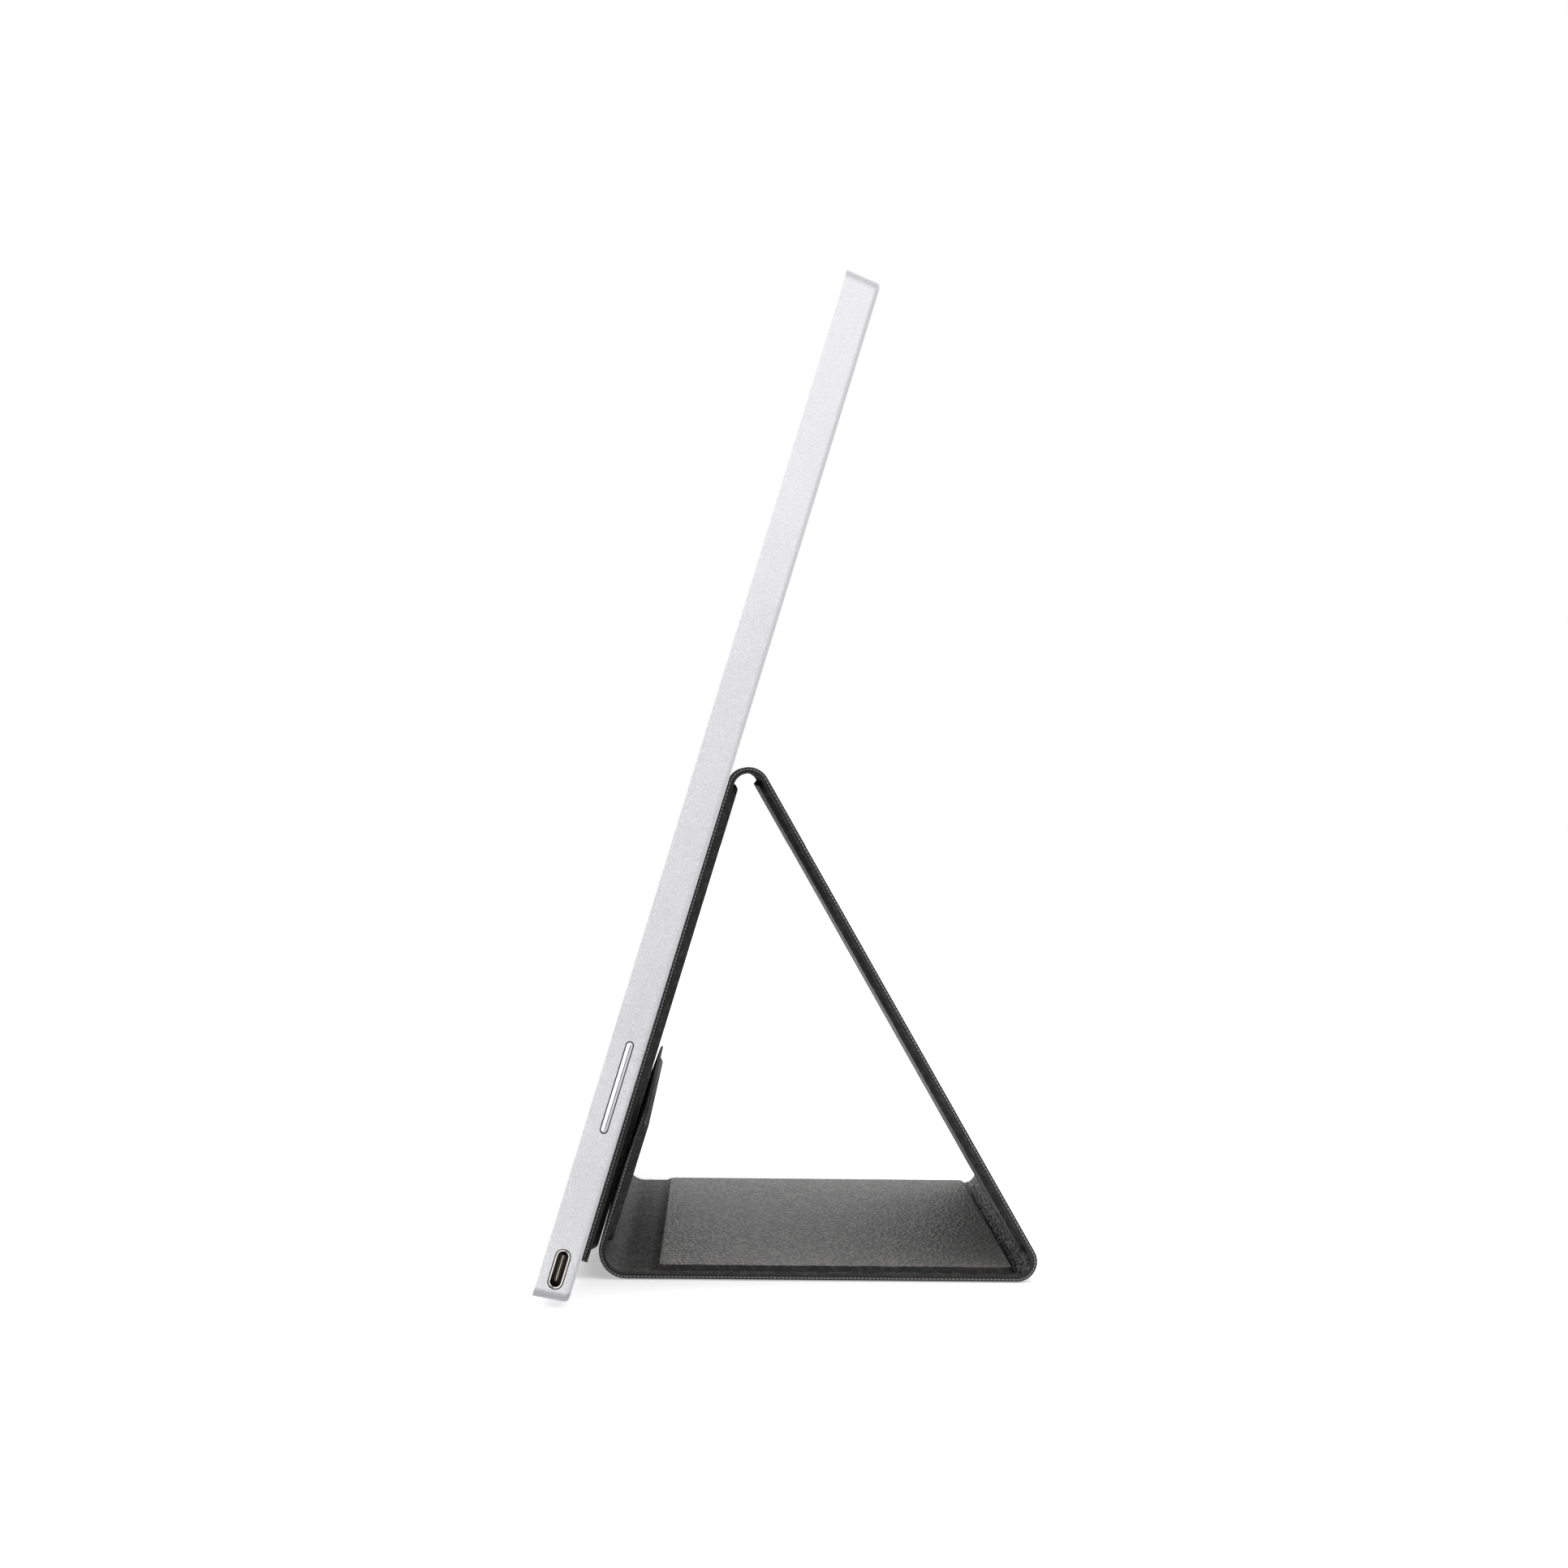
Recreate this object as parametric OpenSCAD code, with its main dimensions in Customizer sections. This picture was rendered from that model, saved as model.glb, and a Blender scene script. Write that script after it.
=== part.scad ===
// Portable monitor standing on its folding cover.
// X runs along the screen's width, the screen faces -Y, and +Z is up.
// The origin is the middle of the base panel's underside, on the table.

/* [Monitor] */
// Width of the monitor
monitor_w = 360.5; // [340:0.5:380]
// Height of the monitor, along its lean
monitor_h = 240.5; // [230:0.5:260]
// Thickness of the monitor
monitor_t = 8.3; // [8.1:0.1:10]
// Radius of the corners, seen from the front
corner_r = 2.8; // [1.5:0.1:6]
// Draft of the edge walls towards the back, in degrees
wall_draft = 5; // [0:0.5:7]
// Radius along the edge of the back
back_edge_r = 1.2; // [0.4:0.1:1.6]
// Wall of the back cover
shell_wall = 1.0; // [0.8:0.05:1.2]
// Lean of the screen from upright, in degrees
screen_lean = 16.5; // [10:0.5:25]
// Height of the monitor's lowest edge above the table
foot_gap = 0.9; // [0.5:0.1:6]

/* [Display] */
// Bezel on each side of the picture
side_bezel = 7.9; // [7.5:0.1:12]
// Bezel above the picture
top_bezel = 7.0; // [6:0.5:10]
// Bezel below the picture
chin = 18.1; // [17:0.1:24]
// Thickness of the front bezel
bezel_t = 1.0; // [0.8:0.1:1.2]
// Thickness of the liquid crystal cell
cell_t = 1.0; // [0.8:0.05:1.2]
// Thickness of the diffuser films
film_t = 0.4; // [0.3:0.05:0.5]
// Thickness of the light guide
guide_t = 0.6; // [0.5:0.05:0.8]
// Thickness of the reflector
reflector_t = 0.2; // [0.15:0.05:0.3]
// Sheet that the display tray is pressed from
tray_sheet = 0.3; // [0.2:0.05:0.4]
// Number of lamps on the lamp strip
lamp_count = 48; // [24:1:60]

/* [Electronics] */
// Thickness of the main board
board_pcb_t = 0.8; // [0.6:0.1:1.0]
// Height of the sockets' centre above the monitor's bottom edge
socket_y = 7.7; // [7:0.1:9]
// Width of a socket's shell
socket_w = 8.94; // [8.9:0.02:9.2]
// Height of a socket's shell
socket_h = 3.16; // [3.1:0.02:3.4]
// Depth of a socket
socket_depth = 7.3; // [6.5:0.1:9]
// Number of screws that hold the main board
screw_count = 6; // [4:1:8]
// Diameter of those screws
screw_d = 1.6; // [1.4:0.1:2]

/* [Rocker key] */
// Height of the key's centre above the monitor's bottom edge
key_y = 50.3; // [40:0.5:80]
// Height of the key's centre above the face of the back
key_z = 3.75; // [3.4:0.05:4.4]
// Length of the key
key_len = 21.2; // [16:0.2:26]
// Width of the key
key_w = 1.5; // [1.2:0.1:2]
// How far the key stands out of the wall
key_proud = 0.3; // [0.1:0.05:0.5]
// Diameter of the pin that the key rocks on
key_pin_d = 0.8; // [0.6:0.1:1]

/* [Cover] */
// Width of the cover
cover_w = 240; // [180:1:260]
// Length of the strut between its folds
strut_len = 129; // [110:0.5:140]
// Length of the panel behind the monitor, below the top fold
back_panel_len = 119; // [105:0.5:122]
// Length of the flap above the front fold
flap_len = 34; // [25:0.5:45]
// Lean of the strut from upright, in degrees
strut_lean = 30; // [25:0.5:40]
// Lean of the flap from upright, in degrees
flap_lean = 16.8; // [16.7:0.1:20]
// Thickness of the outer skin
skin_t = 1.0; // [0.8:0.05:1.2]
// Thickness of the stiffening boards
stiff_t = 1.25; // [1:0.05:1.5]
// Thickness of the lining
lining_t = 0.5; // [0.4:0.05:0.6]
// Skin left bare of board along the sides
side_margin = 6.5; // [4:0.5:12]
// Skin left bare of board at the free ends
end_margin = 4.3; // [3:0.1:8]
// Skin left bare of board at the front of the base
front_margin = 8; // [2:0.5:14]
// Skin left bare of board beside the other folds
fold_margin = 1; // [0.5:0.1:3]
// Radius of the cover's free corners
free_corner_r = 4; // [2:0.5:8]
// Outer radius of the rear fold
rear_fold_r = 4.8; // [4:0.1:6]
// Outer radius of the top fold
top_fold_r = 5.1; // [4.5:0.1:6.5]
// Outer radius of the front fold
front_fold_r = 6.5; // [5:0.1:8]

/* [Magnets] */
// Magnets in each of the two rows behind the monitor
magnet_columns = 4; // [2:1:5]
// Diameter of the monitor's magnets
magnet_d = 12; // [8:0.5:16]
// Number of bar magnets in the flap
flap_magnet_count = 4; // [2:1:6]
// Length of a bar magnet
bar_len = 24; // [12:1:30]
// Width of a bar magnet
bar_w = 8; // [5:0.5:10]

/* [Clearances] */
// Gap between pieces that are set in one another
set_gap = 0.1; // [0.05:0.01:0.15]
// Gap round the rocker key
key_gap = 0.2; // [0.15:0.05:0.3]
// Running gap between the key and its pin
pin_gap = 0.05; // [0.03:0.01:0.08]
// Gap between the flap and the panel that it rests on
flap_gap = 0.3; // [0.2:0.05:0.6]
// Gap where pieces that part from each other meet
seat_gap = 0.03; // [0.02:0.01:0.1]

/* [Hidden] */
$fn = 64;
eps = 0.01;

// Directions in the side view, where a panel's own Y turns from +Y towards +Z
function along(a) = [cos(a), sin(a)];
function inward(a) = [-sin(a), cos(a)];
// Where a panel ends once it has gone round a fold of outer radius r
function past_fold(p, a, r, turn) = p + r * inward(a) - r * inward(a + turn);

// Side view of the cover, from the rear of the base and up round both folds
cover_t = skin_t + stiff_t + lining_t;
rear_turn = 90 + strut_lean;
top_turn = 180 - strut_lean - screen_lean;
front_turn = 90 + flap_lean;
strut_a = rear_turn;
back_a = rear_turn + top_turn;
flap_a = 360 - front_turn;
strut_from_rear = past_fold([0, 0], 0, rear_fold_r, rear_turn);
back_from_rear = past_fold(strut_from_rear + strut_len * along(strut_a),
    strut_a, top_fold_r, top_turn);

// The base is as long as it must be for the flap to lie on the back panel
flap_reach = cover_t + front_fold_r + flap_gap
    - (back_from_rear[1] - front_fold_r) * sin(screen_lean);
base_len = -back_from_rear[0] - flap_reach / cos(screen_lean);
base_rear = [base_len / 2, 0];
base_front = [-base_len / 2, 0];
strut_foot = base_rear + strut_from_rear;
strut_top = strut_foot + strut_len * along(strut_a);
back_top = base_rear + back_from_rear;
rear_centre = base_rear + [0, rear_fold_r];
top_centre = strut_top + top_fold_r * inward(strut_a);
front_centre = base_front + [0, front_fold_r];
flap_foot = front_centre - front_fold_r * inward(flap_a);

// The monitor's own Y runs up the screen from its bottom edge, and its own Z
// from the face of its back to the screen
draft_run = monitor_t * tan(wall_draft);
monitor_z = foot_gap - draft_run * cos(screen_lean);
monitor_y = back_top[0] - seat_gap / cos(screen_lean)
    - (back_top[1] - monitor_z) * tan(screen_lean);
bay_floor = shell_wall;
mid_t = monitor_t / 2;

picture_w = monitor_w - 2 * side_bezel;
picture_h = monitor_h - top_bezel - chin;

// Layers of the display, from the bezel backwards
bezel_back = monitor_t - bezel_t;
cell_back = bezel_back - cell_t;
film_back = cell_back - film_t;
guide_back = film_back - guide_t;
reflector_back = guide_back - reflector_t;
tray_back = reflector_back - tray_sheet;
picture_y = chin;
cell_rim = 1.6;
cell_ledge = 4;
tray_w = picture_w + 2 * (cell_rim + set_gap + tray_sheet);
tray_y = picture_y - cell_ledge - set_gap - tray_sheet;
tray_h = monitor_h - top_bezel + cell_rim + set_gap + tray_sheet - tray_y;
lamp_w = 3;
lamp_d = 1;
guide_y = picture_y - cell_ledge + lamp_d + set_gap;

// Pads between the back cover and the tray
pad_size = 24;
pad_columns = 5;
pad_pitch = tray_w / pad_columns;
pad_rows = [tray_y + 0.35 * tray_h, tray_y + 0.78 * tray_h];

// The main board lies in the chin below the display
chin_edge = 0.5;
main_y = shell_wall + draft_run + chin_edge;
main_h = tray_y - main_y - chin_edge;
main_z = mid_t - board_pcb_t / 2;
main_top = main_z + board_pcb_t;
socket_face = 0.3;
socket_wall = 0.3;
socket_floor = 0.6;
socket_out = monitor_w / 2 - (monitor_t - mid_t) * tan(wall_draft) - socket_face;
tongue_w = 6.7;
tongue_t = 0.7;
tongue_len = 4.5;
board_inset = 0.9;
board_end = socket_out - board_inset;
board_notch = socket_out - socket_depth;
screw_from_edge = 2.6;
screw_y = main_y + main_h - screw_from_edge;
screw_from_end = 12;
screw_span = 2 * (board_notch - screw_from_end);
boss_wall = 1.1;
boss_floor = 0.4;
boss_d = screw_d + 2 * boss_wall;
screw_lip = 0.55;
screw_head_d = screw_d + 2 * screw_lip;
screw_head_h = 0.7;
screw_slot_w = 0.3;
screw_slot_d = 0.3;
screw_depth = main_z - bay_floor - boss_floor;
screw_pitch = screw_span / (screw_count - 1);
chip_sizes = [7, 5, 8, 6, 5];
chip_h = 1.0;
chip_from_edge = 5.2;
chip_y = main_y + chip_from_edge;
can_bay = floor((screw_count - 1) / 2);
can_from_screw = 5;
can_w = screw_pitch - 2 * can_from_screw;
can_h = 9.6;
can_wall = 0.2;
can_top = 1.5;

// The timing board hangs under the tray, above the main board
timing_w = 210;
timing_h = 12;
timing_from_edge = 3;
timing_y = tray_y + timing_from_edge;
timing_t = 0.6;
timing_z = tray_back - timing_t;
flex_count = 3;
flex_w = 26;
flex_t = 0.15;
flex_lap = 0.9;
flex_bulge = 0.4;
flex_pitch = 70;
link_x = flex_pitch / 2;
link_w = 24;
link_t = 0.3;
link_lap = 3;
link_under = 0.6;

// Depths of the rocker key's pieces below the face of the wall
side_x = monitor_w / 2 - (monitor_t - key_z) * tan(wall_draft);
flange_lift = 0.5;
flange_t = 0.5;
flange_end = 0.8;
flange_side = 0.75;
flange_len = key_len - 2 * flange_end;
flange_w = key_w + 2 * flange_side;
flange_depth = shell_wall + flange_lift;
hub_len = 3;
hub_wall = 0.35;
pin_depth = flange_depth + flange_t + key_pin_d / 2 + 0.1;
hub_depth = pin_depth + key_pin_d / 2 + pin_gap + hub_wall;
ear_t = 0.7;
ear_len = 3.4;
ear_gap = 0.12;
ear_z = flange_w / 2 + ear_gap;
pin_len = 2 * (ear_z + ear_t);
switch_gap = 0.32;
switch_y = 7.2;
switch_len = 2.8;
switch_w = 2.4;
switch_h = 1.0;
plunger_d = 1.2;
plunger_h = 0.25;
rocker_pcb_t = 0.4;
rocker_pcb_depth = flange_depth + flange_t + switch_gap + plunger_h + switch_h;
rocker_pcb_w = 4.2;
rocker_pcb_len = 2 * (switch_y + switch_len);
bracket_t = 0.5;
bracket_depth = rocker_pcb_depth + rocker_pcb_t;
ribbon_w = 2.2;
ribbon_t = 0.3;
ribbon_lap = 5;

// Where the cover's magnets and plates lie
row_pitch = 62;
row_y = 13;
magnet_h = 1.6;
plate_gap = 0.1;
magnet_from_side = 20;
bar_from_side = 25;
bar_from_board_end = 6;
magnet_pitch = (cover_w - 2 * (side_margin + magnet_from_side)) / (magnet_columns - 1);
bar_pitch = (cover_w - 2 * (side_margin + bar_from_side)) / (flap_magnet_count - 1);
bar_from_tip = end_margin + bar_w / 2 + bar_from_board_end;

// The flap's free edge is thinner over this length, by this much
lip_len = 14;
lip_cut = 0.75;
// The same height on the back panel, measured from its top fold
bar_on_panel = (back_top[1] - flap_foot[1] - (flap_len - bar_from_tip) * cos(flap_lean))
    / cos(screen_lean);

// A rectangle on the X axis, from y = 0 upwards, with any of its corners rounded
module sheet_outline(w, h, low_r, high_r) {
    difference() {
        translate([-w / 2, 0]) square([w, h]);
        for (side = [-1, 1]) {
            if (low_r > 0) corner_bite(side * w / 2, 0, side, -1, low_r);
            if (high_r > 0) corner_bite(side * w / 2, h, side, 1, high_r);
        }
    }
}

module corner_bite(x, y, sx, sy, r) {
    difference() {
        translate([x - sx * r / 2 + sx * eps, y - sy * r / 2 + sy * eps])
            square(r + 2 * eps, center = true);
        translate([x - sx * r, y - sy * r]) circle(r);
    }
}

// A slot with round ends, along Y, about its centre
module pill(len, wid) {
    square([wid, len - wid], center = true);
    for (side = [-1, 1]) translate([0, side * (len - wid) / 2]) circle(d = wid);
}

// Puts a panel's own frame at point p of the side view, turned by a
module lay(p, a) {
    translate([0, p[0], p[1]]) rotate([a, 0, 0]) children();
}

// A flat layer of a panel: its ends at y0 and y1, its faces at z0 and z1
module layer(w, y0, y1, z0, z1, low_r = 0, high_r = 0) {
    translate([0, y0, z0]) linear_extrude(z1 - z0) sheet_outline(w, y1 - y0, low_r, high_r);
}

module panel_skin(len, low_r = 0, high_r = 0) {
    layer(cover_w, 0, len, 0, skin_t, low_r, high_r);
}

module stiffener(y0, y1) {
    layer(cover_w - 2 * side_margin, y0, y1, skin_t, skin_t + stiff_t, 2, 2);
}

// The lining lies on the skin and rises over the board
module panel_lining(len, y0, y1, low_r = 0, high_r = 0) {
    difference() {
        union() {
            layer(cover_w, 0, len, skin_t, skin_t + lining_t, low_r, high_r);
            layer(cover_w - 2 * side_margin + 2 * lining_t, y0 - lining_t, y1 + lining_t,
                skin_t, cover_t, 2, 2);
        }
        layer(cover_w - 2 * side_margin, y0, y1, skin_t - eps, skin_t + stiff_t, 2, 2);
    }
}

// A stretch of bent sheet about the X axis, short of the panel that it does not ride with
module bend(centre, start, turn, r_out, t) {
    far = 3 * r_out;
    translate([-cover_w / 2, centre[0], centre[1]])
        rotate([90, 0, 90]) linear_extrude(cover_w) intersection() {
            difference() {
                circle(r_out);
                circle(r_out - t);
            }
            polygon(concat([[0, 0]], [for (i = [0:4]) far * along(start + turn * i / 4)]));
        }
}

// The angle that leaves the seat gap at radius r, measured inside the lining
function short_of(r) = seat_gap / (r - skin_t - lining_t) * 180 / PI;

module base_skin() {
    color("#3a393a") lay(base_front, 0) panel_skin(base_len);
}

module base_board() {
    color("#6f6a60") lay(base_front, 0) stiffener(front_margin, base_len - fold_margin);
}

module base_lining() {
    color("#6e6a69") lay(base_front, 0)
        panel_lining(base_len, front_margin, base_len - fold_margin);
}

module strut_skin() {
    color("#3a393a") lay(strut_foot, strut_a) panel_skin(strut_len);
}

module strut_board() {
    color("#6f6a60") lay(strut_foot, strut_a) stiffener(fold_margin, strut_len - fold_margin);
}

module strut_lining() {
    color("#6e6a69") lay(strut_foot, strut_a)
        panel_lining(strut_len, fold_margin, strut_len - fold_margin);
}

module back_panel_skin() {
    color("#3a393a") lay(back_top, back_a) panel_skin(back_panel_len, 0, free_corner_r);
}

// The board is cut out for the plates that the magnets hold on to
module back_panel_board() {
    color("#6f6a60") lay(back_top, back_a) difference() {
        stiffener(fold_margin, back_panel_len - end_margin);
        plate_set(set_gap, skin_t - eps, skin_t + stiff_t + eps);
    }
}

module back_panel_lining() {
    color("#6e6a69") lay(back_top, back_a)
        panel_lining(back_panel_len, fold_margin, back_panel_len - end_margin,
            0, free_corner_r);
}

// Round plates face the monitor's magnets, and bars face the flap's
module plate_set(grow, z0, z1) {
    for (i = [0:magnet_columns - 1], row = [0, 1])
        translate([magnet_x(i), magnet_from_top(row), z0])
            cylinder(d = magnet_d + 2 * grow, h = z1 - z0);
    for (i = [0:flap_magnet_count - 1])
        translate([bar_x(i), bar_on_panel, (z0 + z1) / 2])
            cube([bar_len + 2 * grow, bar_w + 2 * grow, z1 - z0], center = true);
}

function magnet_x(i) = (i - (magnet_columns - 1) / 2) * magnet_pitch;
function bar_x(i) = (i - (flap_magnet_count - 1) / 2) * bar_pitch;
function magnet_from_top(row) = row_y + row * row_pitch;
// The same rows, measured up the monitor
function magnet_on_monitor(row) = (back_top[1] - monitor_z) / cos(screen_lean)
    - magnet_from_top(row);

module back_panel_plates() {
    color("#9a9da0") lay(back_top, back_a) plate_set(0, skin_t, skin_t + stiff_t - plate_gap);
}

module flap_skin() {
    color("#3a393a") lay_flap() difference() {
        panel_skin(flap_len, free_corner_r, 0);
        lip_relief();
    }
}

// The flap's own Y runs down from its free edge to the front fold
module lay_flap() {
    lay(flap_foot - flap_len * along(flap_a), flap_a) children();
}

// The free edge is pared away on the side of the back panel
module lip_relief() {
    translate([-cover_w / 2 - 1, 0, 0]) rotate([90, 0, 90]) linear_extrude(cover_w + 2)
        polygon([[-1, -1], [lip_len, -1], [lip_len, 0], [-1, lip_cut]]);
}

module flap_board() {
    color("#6f6a60") lay_flap() difference() {
        stiffener(end_margin, flap_len - fold_margin);
        bar_set(set_gap, skin_t - eps, skin_t + stiff_t + eps);
    }
}

module flap_lining() {
    color("#6e6a69") lay_flap()
        panel_lining(flap_len, end_margin, flap_len - fold_margin, free_corner_r, 0);
}

module bar_set(grow, z0, z1) {
    for (i = [0:flap_magnet_count - 1])
        translate([bar_x(i), bar_from_tip, (z0 + z1) / 2])
            cube([bar_len + 2 * grow, bar_w + 2 * grow, z1 - z0], center = true);
}

module flap_magnets() {
    color("#9a9da0") lay_flap() bar_set(0, skin_t, skin_t + stiff_t - plate_gap);
}

module rear_fold_skin() {
    color("#2b2b2c") bend(rear_centre, -90, rear_turn - short_of(rear_fold_r), rear_fold_r,
        skin_t);
}

module rear_fold_lining() {
    color("#77716c") bend(rear_centre, -90, rear_turn - short_of(rear_fold_r),
        rear_fold_r - skin_t, lining_t);
}

module top_fold_skin() {
    color("#2b2b2c") bend(top_centre, strut_a - 90, top_turn - short_of(top_fold_r),
        top_fold_r, skin_t);
}

module top_fold_lining() {
    color("#77716c") bend(top_centre, strut_a - 90, top_turn - short_of(top_fold_r),
        top_fold_r - skin_t, lining_t);
}

module front_fold_skin() {
    gap_a = short_of(front_fold_r);
    color("#2b2b2c") bend(front_centre, flap_a - 90 + gap_a, front_turn - gap_a,
        front_fold_r, skin_t);
}

module front_fold_lining() {
    gap_a = short_of(front_fold_r);
    color("#77716c") bend(front_centre, flap_a - 90 + gap_a, front_turn - gap_a,
        front_fold_r - skin_t, lining_t);
}

// Puts the monitor's own frame on the face of its back
module lay_monitor() {
    translate([0, monitor_y, monitor_z]) rotate([90 - screen_lean, 0, 0]) children();
}

// The monitor's section, from its middle to one edge: a drafted wall and a round back edge
function half_section(half, r, inset, floor) = concat(
    [[0, floor], [0, monitor_t + (inset > 0 ? 1 : 0)]],
    [[half - inset + (inset > 0 ? tan(wall_draft) : 0), monitor_t + (inset > 0 ? 1 : 0)]],
    [for (i = [0:5]) let (t = i * 90 / 5)
        [half - inset - (monitor_t - floor - r) * tan(wall_draft) - r * (1 - cos(t)),
            floor + r * (1 - sin(t))]]
);

module drafted_block(inset, floor, r, plan_r) {
    top = monitor_t + (inset > 0 ? 1 : 0);
    intersection() {
        translate([0, monitor_h, 0]) rotate([90, 0, 0]) linear_extrude(monitor_h)
            for (side = [0, 1]) mirror([side, 0])
                polygon(half_section(monitor_w / 2, r, inset, floor));
        translate([-monitor_w / 2, monitor_h / 2, 0]) rotate([90, 0, 90])
            linear_extrude(monitor_w)
                for (side = [0, 1]) mirror([side, 0])
                    polygon(half_section(monitor_h / 2, r, inset, floor));
        translate([0, inset, floor]) linear_extrude(top - floor)
            sheet_outline(monitor_w - 2 * inset, monitor_h - 2 * inset, plan_r, plan_r);
    }
}

module socket_place(side) {
    translate([side * socket_out, socket_y, mid_t]) rotate([0, side * 90, 0]) children();
}

module back_cover() {
    color("#dcdcde") lay_monitor() {
        difference() {
            drafted_block(0, 0, back_edge_r, corner_r);
            drafted_block(shell_wall, bay_floor, 0.01, corner_r - shell_wall / 2);
            for (side = [-1, 1]) socket_place(side) translate([0, 0, -3])
                linear_extrude(6) pill(socket_w + 2 * set_gap, socket_h + 2 * set_gap);
            translate([side_x - 3, key_y, key_z]) rotate([0, 90, 0]) linear_extrude(6)
                pill(key_len + 2 * key_gap, key_w + 2 * key_gap);
        }
        for (i = [0:screw_count - 1]) translate([screw_x(i), screw_y, bay_floor]) difference() {
            cylinder(d = boss_d, h = main_z - bay_floor);
            translate([0, 0, boss_floor]) cylinder(d = screw_d, h = main_z);
        }
    }
}

function screw_x(i) = (i / (screw_count - 1) - 0.5) * screw_span;

module front_bezel() {
    rim = shell_wall + set_gap;
    color("#1c1c1e") lay_monitor() translate([0, 0, bezel_back]) difference() {
        translate([0, rim + draft_edge, 0]) linear_extrude(bezel_t)
            sheet_outline(monitor_w - 2 * (rim + draft_edge), monitor_h - 2 * (rim + draft_edge),
                corner_r - shell_wall / 2, corner_r - shell_wall / 2);
        translate([0, picture_y, -1]) linear_extrude(bezel_t + 2)
            sheet_outline(picture_w, picture_h, 0, 0);
    }
}
draft_edge = bezel_t * tan(wall_draft);

// A sheet of the display: w wide, from y0 up to the cell's top edge less an inset
module display_sheet(w, y0, z0, t, inset = 0) {
    translate([0, y0, z0]) linear_extrude(t)
        sheet_outline(w, monitor_h - top_bezel + cell_rim - inset - y0, 0, 0);
}

module display_cell() {
    color("#0c0d10") lay_monitor()
        display_sheet(picture_w + 2 * cell_rim, picture_y - cell_ledge, cell_back, cell_t);
}

module diffuser_films() {
    color("#f4f4f2") lay_monitor()
        display_sheet(picture_w + 2 * cell_rim, guide_y, film_back, film_t);
}

module light_guide() {
    color("#e9f2f4") lay_monitor()
        display_sheet(picture_w + 2 * cell_rim, guide_y, guide_back, guide_t);
}

module reflector_sheet() {
    color("#ffffff") lay_monitor()
        display_sheet(picture_w + 2 * cell_rim, picture_y - cell_ledge, reflector_back,
            reflector_t);
}

module lamp_strip() {
    pitch = picture_w / lamp_count;
    color("#f2e7b8") lay_monitor() translate([0, picture_y - cell_ledge, guide_back]) {
        translate([-picture_w / 2, 0, 0]) cube([picture_w, lamp_d / 2, guide_t / 2]);
        for (i = [0:lamp_count - 1])
            translate([(i + 0.5 - lamp_count / 2) * pitch - lamp_w / 2, 0, 0])
                cube([lamp_w, lamp_d, guide_t]);
    }
}

module display_tray() {
    color("#a9adb0") lay_monitor() difference() {
        translate([-tray_w / 2, tray_y, tray_back]) cube([tray_w, tray_h, bezel_back - tray_back]);
        translate([-tray_w / 2 + tray_sheet, tray_y + tray_sheet, reflector_back])
            cube([tray_w - 2 * tray_sheet, tray_h - 2 * tray_sheet, monitor_t]);
        for (i = [0:flex_count - 1])
            translate([flex_x(i) - flex_w / 2 - 1, tray_y - 1, cell_back - 1])
                cube([flex_w + 2, tray_sheet + 2, monitor_t]);
    }
}

function flex_x(i) = (i - (flex_count - 1) / 2) * flex_pitch;

module foam_pads() {
    color("#3c3c40") lay_monitor()
        for (i = [0:pad_columns - 1], y = pad_rows)
            translate([(i + 0.5 - pad_columns / 2) * pad_pitch, y, (bay_floor + tray_back) / 2])
                cube([pad_size, pad_size, tray_back - bay_floor], center = true);
}

// Ribbons from the cell's ledge, round the tray's lower edge, to the timing board
module driver_flexes() {
    out = tray_y - flex_bulge;
    top_z = cell_back;
    low_z = timing_z;
    on_cell = picture_y - cell_ledge + flex_lap;
    on_board = timing_y + timing_from_edge;
    ribbon = [
        [on_cell, top_z], [out, top_z], [out, low_z - flex_t], [on_board, low_z - flex_t],
        [on_board, low_z], [out + flex_t, low_z],
        [out + flex_t, top_z - flex_t], [on_cell, top_z - flex_t]
    ];
    color("#b6742c") lay_monitor()
        for (i = [0:flex_count - 1]) translate([flex_x(i) - flex_w / 2, 0, 0])
            rotate([90, 0, 90]) linear_extrude(flex_w) polygon(ribbon);
}

module timing_board() {
    color("#1f5b3a") lay_monitor()
        translate([-timing_w / 2, timing_y, timing_z]) cube([timing_w, timing_h, timing_t]);
}

// A flat cable from under the main board, up to the timing board
module link_cable() {
    low_z = main_z - link_t;
    color("#d9d6cc") lay_monitor() translate([link_x, 0, 0]) rotate([90, 0, 90])
        translate([0, 0, -link_w / 2]) linear_extrude(link_w) polygon([
            [main_y + main_h - link_under, low_z], [main_y + main_h + 1, low_z],
            [timing_y + 5, timing_z - link_t], [timing_y + 5 + link_lap, timing_z - link_t],
            [timing_y + 5 + link_lap, timing_z], [timing_y + 5, timing_z],
            [main_y + main_h + 1, main_z], [main_y + main_h - link_under, main_z]
        ]);
}

module main_board() {
    color("#1d4f35") lay_monitor() difference() {
        translate([-board_end, main_y, main_z]) cube([2 * board_end, main_h, board_pcb_t]);
        for (side = [-1, 1])
            translate([side * (board_notch + 10), socket_y, main_z])
                cube([20, socket_w + 2 * set_gap, 4], center = true);
        for (i = [0:screw_count - 1]) translate([screw_x(i), screw_y, main_z - 1])
            cylinder(d = screw_d + 2 * set_gap, h = 4);
    }
}

module main_chips() {
    color("#26272b") lay_monitor() for (i = [0:screw_count - 2])
        let (size = chip_sizes[i % len(chip_sizes)])
            translate([bay_x(i), chip_y, main_top + chip_h / 2])
                cube([size, size, chip_h], center = true);
}

// The middle of the stretch of board between one screw and the next
function bay_x(i) = screw_x(i + 0.5);

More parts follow.
